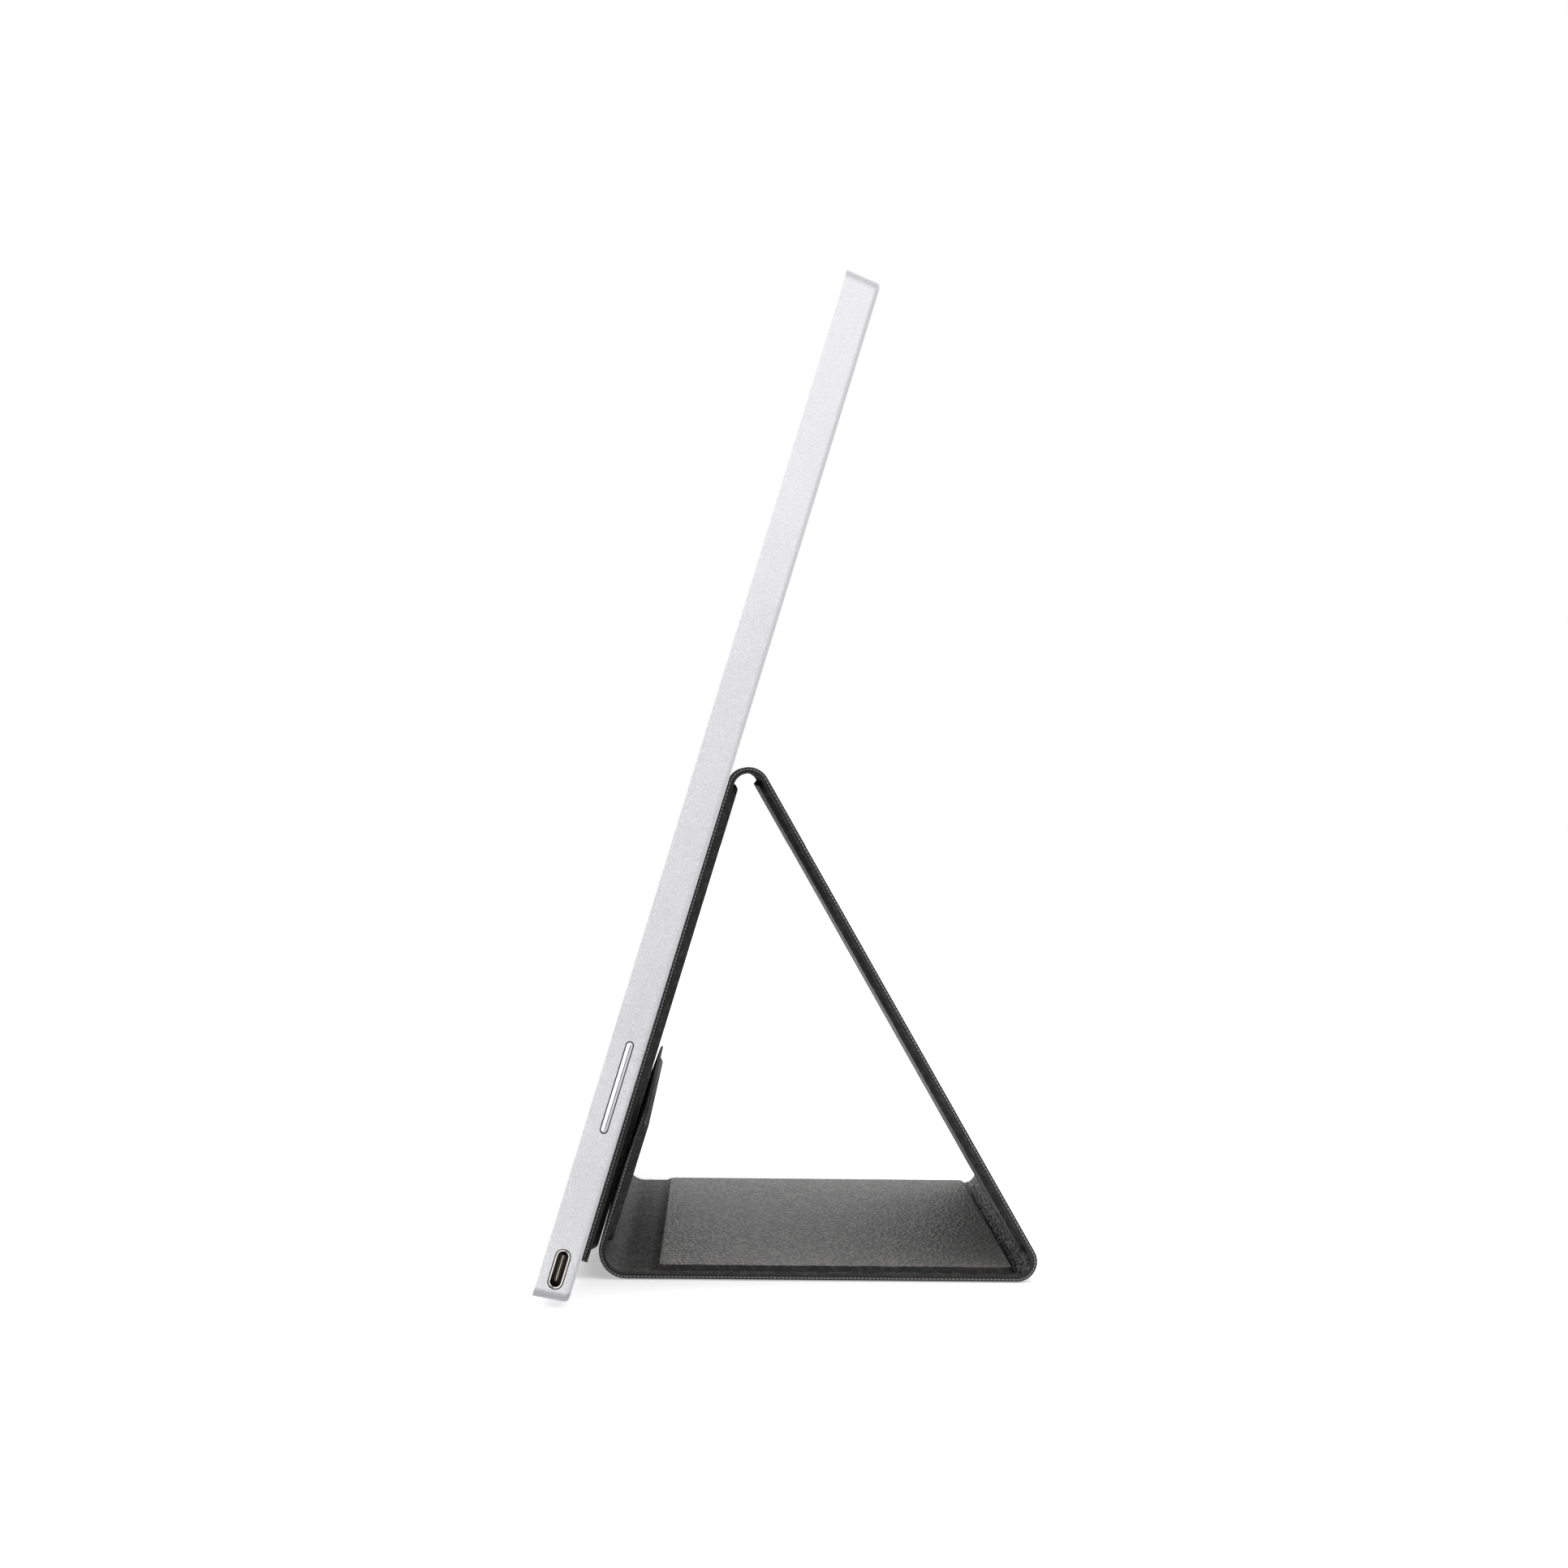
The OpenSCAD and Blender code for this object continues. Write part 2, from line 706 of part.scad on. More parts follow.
module shield_can() {
    color("#c3c6c8") lay_monitor()
        translate([bay_x(can_bay) - can_w / 2, chip_y - can_h / 2, main_top])
        difference() {
            cube([can_w, can_h, can_top]);
            translate([can_wall, can_wall, -eps])
                cube([can_w - 2 * can_wall, can_h - 2 * can_wall, can_top - can_wall + eps]);
        }
}

module board_screws() {
    color("#8d9194") lay_monitor() for (i = [0:screw_count - 1])
        translate([screw_x(i), screw_y, main_top]) difference() {
            union() {
                cylinder(d = screw_head_d, h = screw_head_h);
                translate([0, 0, -board_pcb_t - screw_depth])
                    cylinder(d = screw_d, h = board_pcb_t + screw_depth + eps);
            }
            for (a = [0, 90]) rotate(a) translate([0, 0, screw_head_h])
                cube([screw_d, screw_slot_w, 2 * screw_slot_d], center = true);
        }
}

module monitor_magnets() {
    color("#9a9da0") lay_monitor() for (i = [0:magnet_columns - 1], row = [0, 1])
        translate([magnet_x(i), magnet_on_monitor(row), bay_floor])
            cylinder(d = magnet_d, h = magnet_h);
}

module usb_socket(side) {
    color("#b9bbbe") lay_monitor() socket_place(side) translate([0, 0, -socket_depth])
        difference() {
            linear_extrude(socket_depth) pill(socket_w, socket_h);
            translate([0, 0, socket_floor]) linear_extrude(socket_depth)
                pill(socket_w - 2 * socket_wall, socket_h - 2 * socket_wall);
        }
}

module usb_tongue(side) {
    color("#2a2b2e") lay_monitor() socket_place(side)
        translate([0, 0, socket_floor - socket_depth + tongue_len / 2])
            cube([tongue_t, tongue_w, tongue_len], center = true);
}

module usb_socket_right() {
    usb_socket(1);
}

module usb_tongue_right() {
    usb_tongue(1);
}

module usb_socket_left() {
    usb_socket(-1);
}

module usb_tongue_left() {
    usb_tongue(-1);
}

// The rocker's own frame: Z runs inwards from the face of the wall, Y up the monitor
module rocker_place() {
    lay_monitor() translate([side_x, key_y, key_z]) rotate([0, -90, 0]) children();
}

module rocker_key() {
    color("#e6e6e8") rocker_place() difference() {
        union() {
            translate([0, 0, -key_proud]) linear_extrude(key_proud + flange_depth)
                pill(key_len, key_w);
            translate([0, 0, flange_depth - eps]) linear_extrude(flange_t + eps)
                pill(flange_len, flange_w);
            translate([-flange_w / 2, -hub_len / 2, flange_depth])
                cube([flange_w, hub_len, hub_depth - flange_depth]);
        }
        translate([0, 0, pin_depth]) rotate([0, 90, 0])
            cylinder(d = key_pin_d + 2 * pin_gap, h = 3 * flange_w, center = true);
    }
}

module rocker_pin() {
    color("#a5a8ab") rocker_place() translate([0, 0, pin_depth]) rotate([0, 90, 0])
        cylinder(d = key_pin_d, h = pin_len, center = true);
}

// Two ears hold the pin, on a plate that stands on the back cover's floor
module rocker_bracket() {
    floor_x = bay_floor - key_z;
    color("#b0b3b6") rocker_place() difference() {
        union() {
            translate([floor_x, -rocker_pcb_len / 2, bracket_depth])
                cube([key_z - bay_floor + ear_z + ear_t, rocker_pcb_len, bracket_t]);
            for (side = [-1, 1])
                translate([side * (ear_z + ear_t / 2), 0,
                    (pin_depth - key_pin_d + bracket_depth) / 2])
                        cube([ear_t, ear_len, bracket_depth - pin_depth + key_pin_d + eps],
                            center = true);
        }
        translate([0, 0, pin_depth]) rotate([0, 90, 0])
            cylinder(d = key_pin_d, h = 4 * flange_w, center = true);
    }
}

// The small board has a waist where the ears pass it
module rocker_board() {
    color("#1d4f35") rocker_place() translate([0, 0, rocker_pcb_depth])
        linear_extrude(rocker_pcb_t) difference() {
            square([rocker_pcb_w, rocker_pcb_len], center = true);
            for (side = [-1, 1]) translate([side * (ear_z - ear_gap + 2), 0])
                square([4, ear_len + 2 * ear_gap], center = true);
        }
}

module rocker_switches() {
    color("#d8d8da") rocker_place() for (side = [-1, 1])
        translate([0, side * switch_y, rocker_pcb_depth - switch_h]) {
            translate([-switch_w / 2, -switch_len / 2, 0]) cube([switch_w, switch_len, switch_h]);
            translate([0, 0, -plunger_h]) cylinder(d = plunger_d, h = plunger_h + eps);
        }
}

// A ribbon on edge, from the bracket's back down and along the main board
module rocker_cable() {
    out_x = side_x - bracket_depth - bracket_t;
    low_y = main_y + main_h - link_under;
    high_y = key_y - rocker_pcb_len / 2 + ribbon_lap;
    color("#b6742c") lay_monitor() translate([0, 0, main_top]) linear_extrude(ribbon_w) polygon([
        [board_notch - 2 * ribbon_lap, low_y - ribbon_t], [out_x, low_y - ribbon_t],
        [out_x, high_y], [out_x - ribbon_t, high_y],
        [out_x - ribbon_t, low_y], [board_notch - 2 * ribbon_lap, low_y]
    ]);
}

base_skin();
base_board();
base_lining();
strut_skin();
strut_board();
strut_lining();
back_panel_skin();
back_panel_board();
back_panel_lining();
back_panel_plates();
flap_skin();
flap_board();
flap_lining();
flap_magnets();
rear_fold_skin();
rear_fold_lining();
top_fold_skin();
top_fold_lining();
front_fold_skin();
front_fold_lining();
back_cover();
front_bezel();
display_cell();
diffuser_films();
light_guide();
reflector_sheet();
lamp_strip();
display_tray();
foam_pads();
driver_flexes();
timing_board();
link_cable();
main_board();
main_chips();
shield_can();
board_screws();
monitor_magnets();
usb_socket_right();
usb_tongue_right();
usb_socket_left();
usb_tongue_left();
rocker_key();
rocker_pin();
rocker_bracket();
rocker_board();
rocker_switches();
rocker_cable();
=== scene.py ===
import bmesh
import bpy
from math import cos, pi, radians, sin, tan
from mathutils import Matrix, Vector


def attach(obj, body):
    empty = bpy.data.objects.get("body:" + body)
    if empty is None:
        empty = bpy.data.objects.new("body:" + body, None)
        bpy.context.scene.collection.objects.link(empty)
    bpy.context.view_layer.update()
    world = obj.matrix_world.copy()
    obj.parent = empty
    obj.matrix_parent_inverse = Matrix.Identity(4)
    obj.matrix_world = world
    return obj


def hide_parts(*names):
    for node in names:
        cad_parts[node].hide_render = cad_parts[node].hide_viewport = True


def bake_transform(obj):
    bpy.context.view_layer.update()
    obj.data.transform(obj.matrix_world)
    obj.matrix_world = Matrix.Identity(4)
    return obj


# Portable monitor leaning on its folded leather cover, in a white studio.
# Sizes are in millimetres until a piece is finished, and repeat the part's own.
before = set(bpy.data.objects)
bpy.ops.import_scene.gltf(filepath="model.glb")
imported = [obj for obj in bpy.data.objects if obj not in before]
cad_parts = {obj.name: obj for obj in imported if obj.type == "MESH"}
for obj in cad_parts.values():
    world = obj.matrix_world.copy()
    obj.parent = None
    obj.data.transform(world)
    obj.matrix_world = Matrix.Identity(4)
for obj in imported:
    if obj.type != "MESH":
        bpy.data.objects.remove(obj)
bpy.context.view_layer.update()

MONITOR_W = 360.5
MONITOR_H = 240.5
MONITOR_T = 8.3
CORNER_R = 2.8
WALL_DRAFT = radians(5)
BACK_EDGE_R = 1.2
SHELL_WALL = 1.0
SCREEN_LEAN = radians(16.5)
FOOT_GAP = 0.9
SCREW_COUNT = 6
SCREW_SPAN = 320.57
SCREW_Y = 10.6
SCREW_D = 1.6
BOSS_WALL = 1.1
BOSS_TOP = 3.75
SOCKET_Y = 7.7
SOCKET_W = 8.94
SOCKET_H = 3.16
SOCKET_DEPTH = 7.3
SOCKET_WALL = 0.34
SOCKET_FLOOR = 0.6
SOCKET_INSET = 0.3
SOCKET_LIP_R = 0.14
TONGUE_W = 6.7
TONGUE_T = 0.7
TONGUE_LEN = 4.5
KEY_Y = 50.3
KEY_Z = 3.75
KEY_LEN = 21.2
KEY_W = 1.5
KEY_PROUD = 0.3
KEY_CROWN = 0.4
SET_GAP = 0.1
KEY_GAP = 0.2
FRONT_EDGE_R = 0.22
INNER_BACK_R = 0.3
CUTTER_REACH = 3

COVER_W = 240
STRUT_LEN = 129
BACK_PANEL_LEN = 119
FLAP_LEN = 34
STRUT_LEAN = radians(30)
FLAP_LEAN = radians(16.8)
SKIN_T = 1.0
BOARD_T = 1.25
LINING_T = 0.5
SIDE_MARGIN = 6.5
END_MARGIN = 4.3
FRONT_MARGIN = 8
FOLD_MARGIN = 1
FREE_CORNER_R = 4
BOARD_CORNER_R = 2
CREST_R = 0.5
REAR_FOLD_R = 4.8
TOP_FOLD_R = 5.1
FRONT_FOLD_R = 6.5
FLAP_GAP = 0.3
SEAT_GAP = 0.03
COVER_T = SKIN_T + BOARD_T + LINING_T

# Two points this close lie on the same face or end
BUTT = 0.01


# The cover's side view, in (Y, Z)

def along(turn):
    """The way that a panel runs at a turn of the side view."""
    return Vector((cos(turn), sin(turn)))


def inward(turn):
    """The way from a panel's leather to its lining, at a turn of the side view."""
    return Vector((-sin(turn), cos(turn)))


def past_fold(point, turn, radius, fold):
    """Where a sheet comes out of a fold that it enters at a point and a turn."""
    return point + radius * inward(turn) - radius * inward(turn + fold)


REAR_TURN = pi / 2 + STRUT_LEAN
TOP_TURN = pi - STRUT_LEAN - SCREEN_LEAN
FRONT_TURN = pi / 2 + FLAP_LEAN
STRUT_A = REAR_TURN
BACK_A = REAR_TURN + TOP_TURN
FLAP_A = 2 * pi - FRONT_TURN
strut_from_rear = past_fold(Vector((0, 0)), 0, REAR_FOLD_R, REAR_TURN)
back_from_rear = past_fold(
    strut_from_rear + STRUT_LEN * along(STRUT_A), STRUT_A, TOP_FOLD_R, TOP_TURN
)
flap_reach = (
    COVER_T + FRONT_FOLD_R + FLAP_GAP - (back_from_rear[1] - FRONT_FOLD_R) * sin(SCREEN_LEAN)
)
BASE_LEN = -back_from_rear[0] - flap_reach / cos(SCREEN_LEAN)
base_rear = Vector((BASE_LEN / 2, 0))
base_front = Vector((-BASE_LEN / 2, 0))
strut_foot = base_rear + strut_from_rear
strut_top = strut_foot + STRUT_LEN * along(STRUT_A)
back_top = base_rear + back_from_rear
rear_centre = base_rear + Vector((0, REAR_FOLD_R))
top_centre = strut_top + TOP_FOLD_R * inward(STRUT_A)
front_centre = base_front + Vector((0, FRONT_FOLD_R))
flap_foot = front_centre - FRONT_FOLD_R * inward(FLAP_A)
flap_edge = flap_foot - FLAP_LEN * along(FLAP_A)


def lay(point, turn):
    """Puts a panel's own frame at a point of the side view: X across, Y along, Z inwards."""
    return Matrix.Translation((0, point[0], point[1])) @ Matrix.Rotation(turn, 4, "X")


monitor_z = FOOT_GAP - MONITOR_T * tan(WALL_DRAFT) * cos(SCREEN_LEAN)
monitor_y = (
    back_top[0] - SEAT_GAP / cos(SCREEN_LEAN) - (back_top[1] - monitor_z) * tan(SCREEN_LEAN)
)
ON_MONITOR = lay((monitor_y, monitor_z), pi / 2 - SCREEN_LEAN)


# Materials

def linear(code):
    """A colour given as sRGB hex, in the linear values that the shader takes."""
    parts = [int(code[i:i + 2], 16) / 255 for i in (1, 3, 5)]
    return [p / 12.92 if p <= 0.04045 else ((p + 0.055) / 1.055) ** 2.4 for p in parts] + [1]


def add(tree, kind, sockets=None, **settings):
    """Adds one shader node, with its settings, and its sockets set or linked."""
    node = tree.nodes.new("ShaderNode" + kind)
    for name, value in settings.items():
        setattr(node, name, value)
    for name, value in (sockets or {}).items():
        if isinstance(value, bpy.types.NodeSocket):
            tree.links.new(value, node.inputs[name])
        else:
            node.inputs[name].default_value = value
    return node


def start_finish(name, shader):
    """A new material with a bare principled shader, whose plain sockets are set."""
    finish = bpy.data.materials.new(name)
    finish.use_nodes = True
    tree = finish.node_tree
    tree.nodes.clear()
    coat = add(tree, "BsdfPrincipled", shader)
    add(tree, "OutputMaterial", {"Surface": coat.outputs[0]})
    return finish, tree, coat


def millimetres(tree, on_sheet=False, stretch=(1, 1, 1)):
    """Pattern coordinates in millimetres, over the sheet for what bends, or in the part's space."""
    place = add(tree, "TexCoord").outputs["UV" if on_sheet else "Object"]
    scale = [1000 * s for s in stretch]
    return add(tree, "Mapping", {"Vector": place, "Scale": scale}).outputs[0]


def blend_colour(tree, share, dark, light):
    """A colour between two sRGB hex codes, by a share from 0 to 1."""
    mix = add(tree, "Mix", {0: share, 6: linear(dark), 7: linear(light)}, data_type="RGBA")
    return mix.outputs[2]


def fitted(tree, value, low, high, to_low=0.0, to_high=1.0):
    """Maps a value's range softly to another range."""
    sockets = {0: value, 1: low, 2: high, 3: to_low, 4: to_high}
    return add(tree, "MapRange", sockets, interpolation_type="SMOOTHSTEP").outputs[0]


def raise_relief(tree, coat, height, depth_mm):
    """Turns a pattern into a relief of the surface, as deep as given where it runs from 0 to 1."""
    bump = add(tree, "Bump", {"Height": height, "Distance": depth_mm / 1000, "Strength": 1.0})
    tree.links.new(bump.outputs[0], coat.inputs["Normal"])


def speckled(name, dark, light, grain_mm, relief_mm, shader, rough=(0.4, 0.5)):
    """A finish with a fine even grain in its colour, its sheen and its surface."""
    finish, tree, coat = start_finish(name, shader)
    place = millimetres(tree)
    grain = add(tree, "TexNoise", {"Vector": place, "Scale": 1 / grain_mm, "Detail": 3.0}).outputs[0]
    cloud = add(tree, "TexNoise", {"Vector": place, "Scale": 0.04, "Detail": 2.0}).outputs[0]
    both = add(tree, "Math", {0: cloud, 1: 0.2, 2: grain}, operation="MULTIPLY_ADD").outputs[0]
    tree.links.new(
        blend_colour(tree, fitted(tree, both, 0.38, 0.82), dark, light), coat.inputs["Base Color"]
    )
    tree.links.new(fitted(tree, grain, 0.35, 0.65, *rough), coat.inputs["Roughness"])
    raise_relief(tree, coat, grain, relief_mm)
    return finish


def blasted_aluminium():
    # Bead-blasted, clear-anodised aluminium: an even silver sheen, with a sandy sparkle
    return speckled(
        "blasted_anodised_aluminium", "#dcdcdf", "#f2f2f4", 0.3, 0.008,
        {"Metallic": 1.0}, (0.32, 0.42)
    )


def polished_aluminium():
    # Polished, anodised aluminium: a bright bar with one dark reflection along it
    return speckled(
        "polished_anodised_aluminium", "#dedee1", "#ececef", 3.0, 0.001,
        {"Metallic": 1.0}, (0.05, 0.07)
    )


def pebbled_leather(name, dark, light, pebble_mm, relief_mm, swell_mm, shader, rough, pull=1):
    """Embossed imitation leather: small pebbles in the coat over a softer, uneven backing.
    The pebbles are pull times as long across the cover as they are wide."""
    finish, tree, coat = start_finish(name, shader)
    place = millimetres(tree, on_sheet=True, stretch=(1 / pull, 1, 1))
    wander = add(tree, "TexNoise", {"Vector": place, "Scale": 0.5 / pebble_mm, "Detail": 1.0})
    bent = add(
        tree, "VectorMath", {0: wander.outputs[1], 3: 0.8 * pebble_mm}, operation="SCALE"
    ).outputs[0]
    moved = add(tree, "VectorMath", {0: place, 1: bent}, operation="ADD").outputs[0]
    pebbles = add(
        tree, "TexVoronoi", {"Vector": moved, "Scale": 1 / pebble_mm, "Smoothness": 0.7},
        feature="SMOOTH_F1"
    ).outputs[0]
    crown = fitted(tree, pebbles, 0.75, 0.05)
    swell = add(tree, "TexNoise", {"Vector": place, "Scale": 0.2, "Detail": 4.0}).outputs[0]
    high = add(tree, "Math", {0: swell, 1: swell_mm, 2: crown}, operation="MULTIPLY_ADD").outputs[0]
    # Painted highlight and shade: each pebble's colour is paler at its crown and darker in the gaps
    # between pebbles, mixed with random tone from the backing's swell
    painted_shade_and_tone = add(tree, "Math", {0: crown, 1: 0.55, 2: swell}, operation="MULTIPLY_ADD").outputs[0]
    tree.links.new(
        blend_colour(tree, fitted(tree, painted_shade_and_tone, 0.5, 1.05), dark, light), coat.inputs["Base Color"]
    )
    tree.links.new(fitted(tree, crown, 0.0, 1.0, *rough), coat.inputs["Roughness"])
    raise_relief(tree, coat, high, relief_mm)
    return finish


def outer_leather():
    # Imitation leather, polyurethane on cloth, embossed: near black with a low satin gleam
    return pebbled_leather(
        "embossed_imitation_leather", "#252526", "#39393a", 0.9, 0.09, 0.8,
        {"Specular IOR Level": 0.45, "Sheen Weight": 0.12, "Sheen Roughness": 0.4}, (0.62, 0.46)
    )


def grained_lining():
    # Soft-touch polyurethane lining, embossed: warm mid grey, with painted highlight on every
    # pebble's top and painted shade between the pebbles.
    # The pebbles are 0.9 mm, coarser than the real 0.6 mm, so that they show in the picture
    return pebbled_leather(
        "grained_soft_lining", "#2b2725", "#655e5a", 0.9, 0.16, 0.25,
        {"Specular IOR Level": 0.38, "Sheen Weight": 0.3, "Sheen Roughness": 0.35},
        (0.55, 0.42), 3
    )


def pressed_lining():
    # The lining pressed flat on to the leather, round the board: duller, with an even grain
    return pebbled_leather(
        "pressed_soft_lining", "#2f2e2e", "#625f5d", 0.9, 0.12, 0.8,
        {"Specular IOR Level": 0.4}, (0.7, 0.55)
    )


def creased_lining_painted_shade():
    # The same lining where it bends, wrinkled across the cover: drawn darker than the lining, with
    # painted shade deep down in the wrinkles
    return pebbled_leather(
        "creased_soft_lining_painted_shade", "#121212", "#6a6765", 0.8, 0.2, 0.6,
        {"Specular IOR Level": 0.4}, (0.7, 0.5), 6
    )


def cut_edge():
    # Cut and pressed edge: the pale cloth core shows as a broken line between dark coats
    finish, tree, coat = start_finish("cut_leather_edge", {"Specular IOR Level": 0.2})
    place = millimetres(tree, on_sheet=True)
    run, depth, _ = add(tree, "SeparateXYZ", {0: place}).outputs
    ragged = add(tree, "TexNoise", {"Vector": place, "Scale": 1.6, "Detail": 3.0}).outputs[0]
    wobble = add(tree, "Math", {0: ragged, 1: 0.2, 2: depth}, operation="MULTIPLY_ADD").outputs[0]
    off_core = add(tree, "Math", {0: wobble, 1: 0.6}, operation="SUBTRACT").outputs[0]
    width = add(tree, "Math", {0: off_core}, operation="ABSOLUTE").outputs[0]
    core = fitted(tree, width, 0.22, 0.09)
    # The cloth's threads are 0.45 mm apart: every second one is drawn, so that they show
    thread = add(tree, "Math", {0: run, 1: 2 * pi / 0.9}, operation="MULTIPLY").outputs[0]
    beat = add(tree, "Math", {0: thread}, operation="SINE").outputs[0]
    dots = fitted(tree, beat, -0.7, 0.4, 0.2, 1.0)
    shown = add(tree, "Math", {0: core, 1: dots}, operation="MULTIPLY").outputs[0]
    tree.links.new(blend_colour(tree, shown, "#1e1e1f", "#757371"), coat.inputs["Base Color"])
    tree.links.new(fitted(tree, ragged, 0.3, 0.7, 0.5, 0.75), coat.inputs["Roughness"])
    raise_relief(tree, coat, ragged, 0.05)
    return finish


def lining_side_painted_shade():
    # Painted shade: the lining drawn down the board's side and at its cut sides, as a near black and
    # almost smooth copy of the lining
    return pebbled_leather(
        "lining_side_with_painted_shade", "#212122", "#2e2e2e", 1.3, 0.05, 1.2,
        {"Specular IOR Level": 0.3}, (0.7, 0.6)
    )


def nickel_steel():
    # Drawn and nickel-plated steel: bright grey, with a tight soft reflection
    return speckled("nickel_plated_steel", "#c9c7c2", "#e6e4df", 0.4, 0.004,
                    {"Metallic": 1.0}, (0.16, 0.26))


def nickel_painted_shade():
    # Painted shade: the same nickel plate, drawn smoky and dim in its colour for the socket's inside
    # and the key's hidden parts, where little light gets in
    return speckled("nickel_plate_painted_shade", "#242321", "#3d3b38", 0.4, 0.004,
                    {"Metallic": 1.0}, (0.25, 0.4))


def black_nylon():
    # Glass-filled nylon, moulded: black and slightly rough
    return speckled("black_moulded_nylon", "#0d0d0f", "#17171a", 0.15, 0.01, {}, (0.4, 0.55))


def gold_plate():
    # Gold-plated contacts: thin warm stripes
    return speckled("gold_plated_contacts", "#b58a3e", "#e0b765", 0.2, 0.002,
                    {"Metallic": 1.0}, (0.18, 0.28))


def plain_finishes():
    """The finishes of the pieces inside, and of the screen, by the CAD nodes that they dress."""
    # Anti-glare glass over a dark liquid crystal cell: black, with a faint soft sheen
    glass = speckled("anti_glare_glass", "#020203", "#040506", 0.3, 0.004,
                     {"Specular IOR Level": 0.15, "IOR": 1.52}, (0.24, 0.32))
    # Moulded ABS with a satin texture: an even black frame round the picture
    bezel = speckled("satin_black_abs", "#131315", "#1d1d20", 0.25, 0.02,
                     {"Specular IOR Level": 0.3}, (0.42, 0.55))
    # Pressed grey board: dull and warm, with flecks of paper fibre
    board = speckled("grey_board", "#5f5a51", "#8a8478", 0.8, 0.08, {}, (0.85, 0.95))
    # Nickel plate on a sintered magnet or a steel disc: bright and slightly warm
    nickel = speckled("nickel_plate", "#b3ada2", "#d2cdc3", 0.5, 0.006,
                      {"Metallic": 1.0}, (0.22, 0.34))
    # Milky polyester film: flat white, softly shining
    film = speckled("milky_polyester_film", "#e4e5e2", "#f4f4f1", 1.5, 0.01, {}, (0.3, 0.4))
    # Cast acrylic sheet: clear, with a cool cast at its edges
    acrylic = speckled("cast_acrylic", "#dfeaee", "#f2f8f9", 2.0, 0.005,
                       {"Transmission Weight": 0.8, "IOR": 1.49}, (0.06, 0.12))
    # White solder mask under a row of small lamps: matt, faintly yellow
    lamps = speckled("white_lamp_board", "#e2d9b0", "#f4eccb", 0.9, 0.02, {}, (0.5, 0.65))
    # Pressed aluminium sheet: grey, with the cloudy lines of the rolling mill
    tray = speckled("rolled_aluminium_sheet", "#9fa2a6", "#c2c5c8", 0.7, 0.01,
                    {"Metallic": 1.0}, (0.32, 0.48))
    # Open-cell polyurethane foam: charcoal, pitted with 0.6 mm cells
    foam = speckled("open_cell_foam", "#202023", "#3d3d41", 0.6, 0.35, {}, (0.9, 1.0))
    # Polyimide film over copper: amber and glossy
    polyimide = speckled("polyimide_film", "#8f4f12", "#c27a2c", 1.1, 0.01, {}, (0.25, 0.38))
    # Polyester ribbon cable: white, slightly blue in its gloss
    ribbon = speckled("polyester_ribbon", "#cfccc2", "#e6e3d9", 0.5, 0.02, {}, (0.35, 0.5))
    # Glass-fibre laminate under green solder mask: the 0.5 mm cloth just shows
    laminate = speckled("solder_masked_laminate", "#0f3524", "#1c573b", 0.5, 0.02, {}, (0.3, 0.45))
    # Moulded epoxy packages: matt black with a fine eroded texture
    epoxy = speckled("moulded_epoxy", "#17181b", "#26272b", 0.2, 0.02, {}, (0.6, 0.75))
    # Tinned sheet steel: pale grey, soft reflections
    tinned = speckled("tinned_sheet_steel", "#b2b6b8", "#d3d6d8", 0.8, 0.01,
                      {"Metallic": 1.0}, (0.28, 0.42))
    # Turned bright steel: mid grey and smooth
    steel = speckled("bright_turned_steel", "#8b8f92", "#acafb2", 0.3, 0.008,
                     {"Metallic": 1.0}, (0.2, 0.32))
    # Moulded nylon: white, dull
    nylon = speckled("white_moulded_nylon", "#c8c8ca", "#e0e0e2", 0.4, 0.02, {}, (0.45, 0.6))
    return {
        "display_cell": glass, "front_bezel": bezel,
        "base_board": board, "strut_board": board, "back_panel_board": board, "flap_board": board,
        "back_panel_plates": nickel, "flap_magnets": nickel, "monitor_magnets": nickel,
        "diffuser_films": film, "reflector_sheet": film, "light_guide": acrylic,
        "lamp_strip": lamps, "display_tray": tray, "foam_pads": foam,
        "driver_flexes": polyimide, "rocker_cable": polyimide, "link_cable": ribbon,
        "timing_board": laminate, "main_board": laminate, "rocker_board": laminate,
        "main_chips": epoxy, "shield_can": tinned, "rocker_bracket": tinned,
        "board_screws": steel, "rocker_pin": steel, "rocker_switches": nylon,
    }


def dress_plain_pieces():
    """Gives the pieces that are shown as the part's own solids their finishes."""
    for node, finish in plain_finishes().items():
        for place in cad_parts[node].material_slots:
            place.material = finish


# Shaping: each builder works in its piece's own frame, and finish_piece puts it in place

SHARP_TURN = radians(38)


def new_box(low, high):
    """A box between two corners."""
    shape = bmesh.new()
    bmesh.ops.create_cube(shape, size=1)
    low, high = Vector(low), Vector(high)
    bmesh.ops.scale(shape, vec=high - low, verts=shape.verts)
    bmesh.ops.translate(shape, vec=(low + high) / 2, verts=shape.verts)
    return shape


def edges_where(shape, test):
    """The edges whose two ends both pass the test."""
    return [e for e in shape.edges if all(test(v.co) for v in e.verts)]


def upright_edges(shape):
    """The edges that run through a flat block's depth."""
    return [e for e in shape.edges if abs(e.verts[0].co.z - e.verts[1].co.z) > BUTT]


def round_edges(shape, edges, radius, segments):
    """Rounds edges by a radius."""
    bmesh.ops.bevel(
        shape, geom=edges, offset=radius, offset_type="OFFSET", segments=segments,
        profile=0.5, affect="EDGES", material=-1, clamp_overlap=True
    )


def cut_across(shape, axis, places):
    """Cuts the shape at places along one of its axes, leaving both sides."""
    for place in places:
        point, normal = Vector((0, 0, 0)), Vector((0, 0, 0))
        point[axis], normal[axis] = place, 1
        everything = shape.verts[:] + shape.edges[:] + shape.faces[:]
        bmesh.ops.bisect_plane(shape, geom=everything, dist=1e-5, plane_co=point, plane_no=normal)


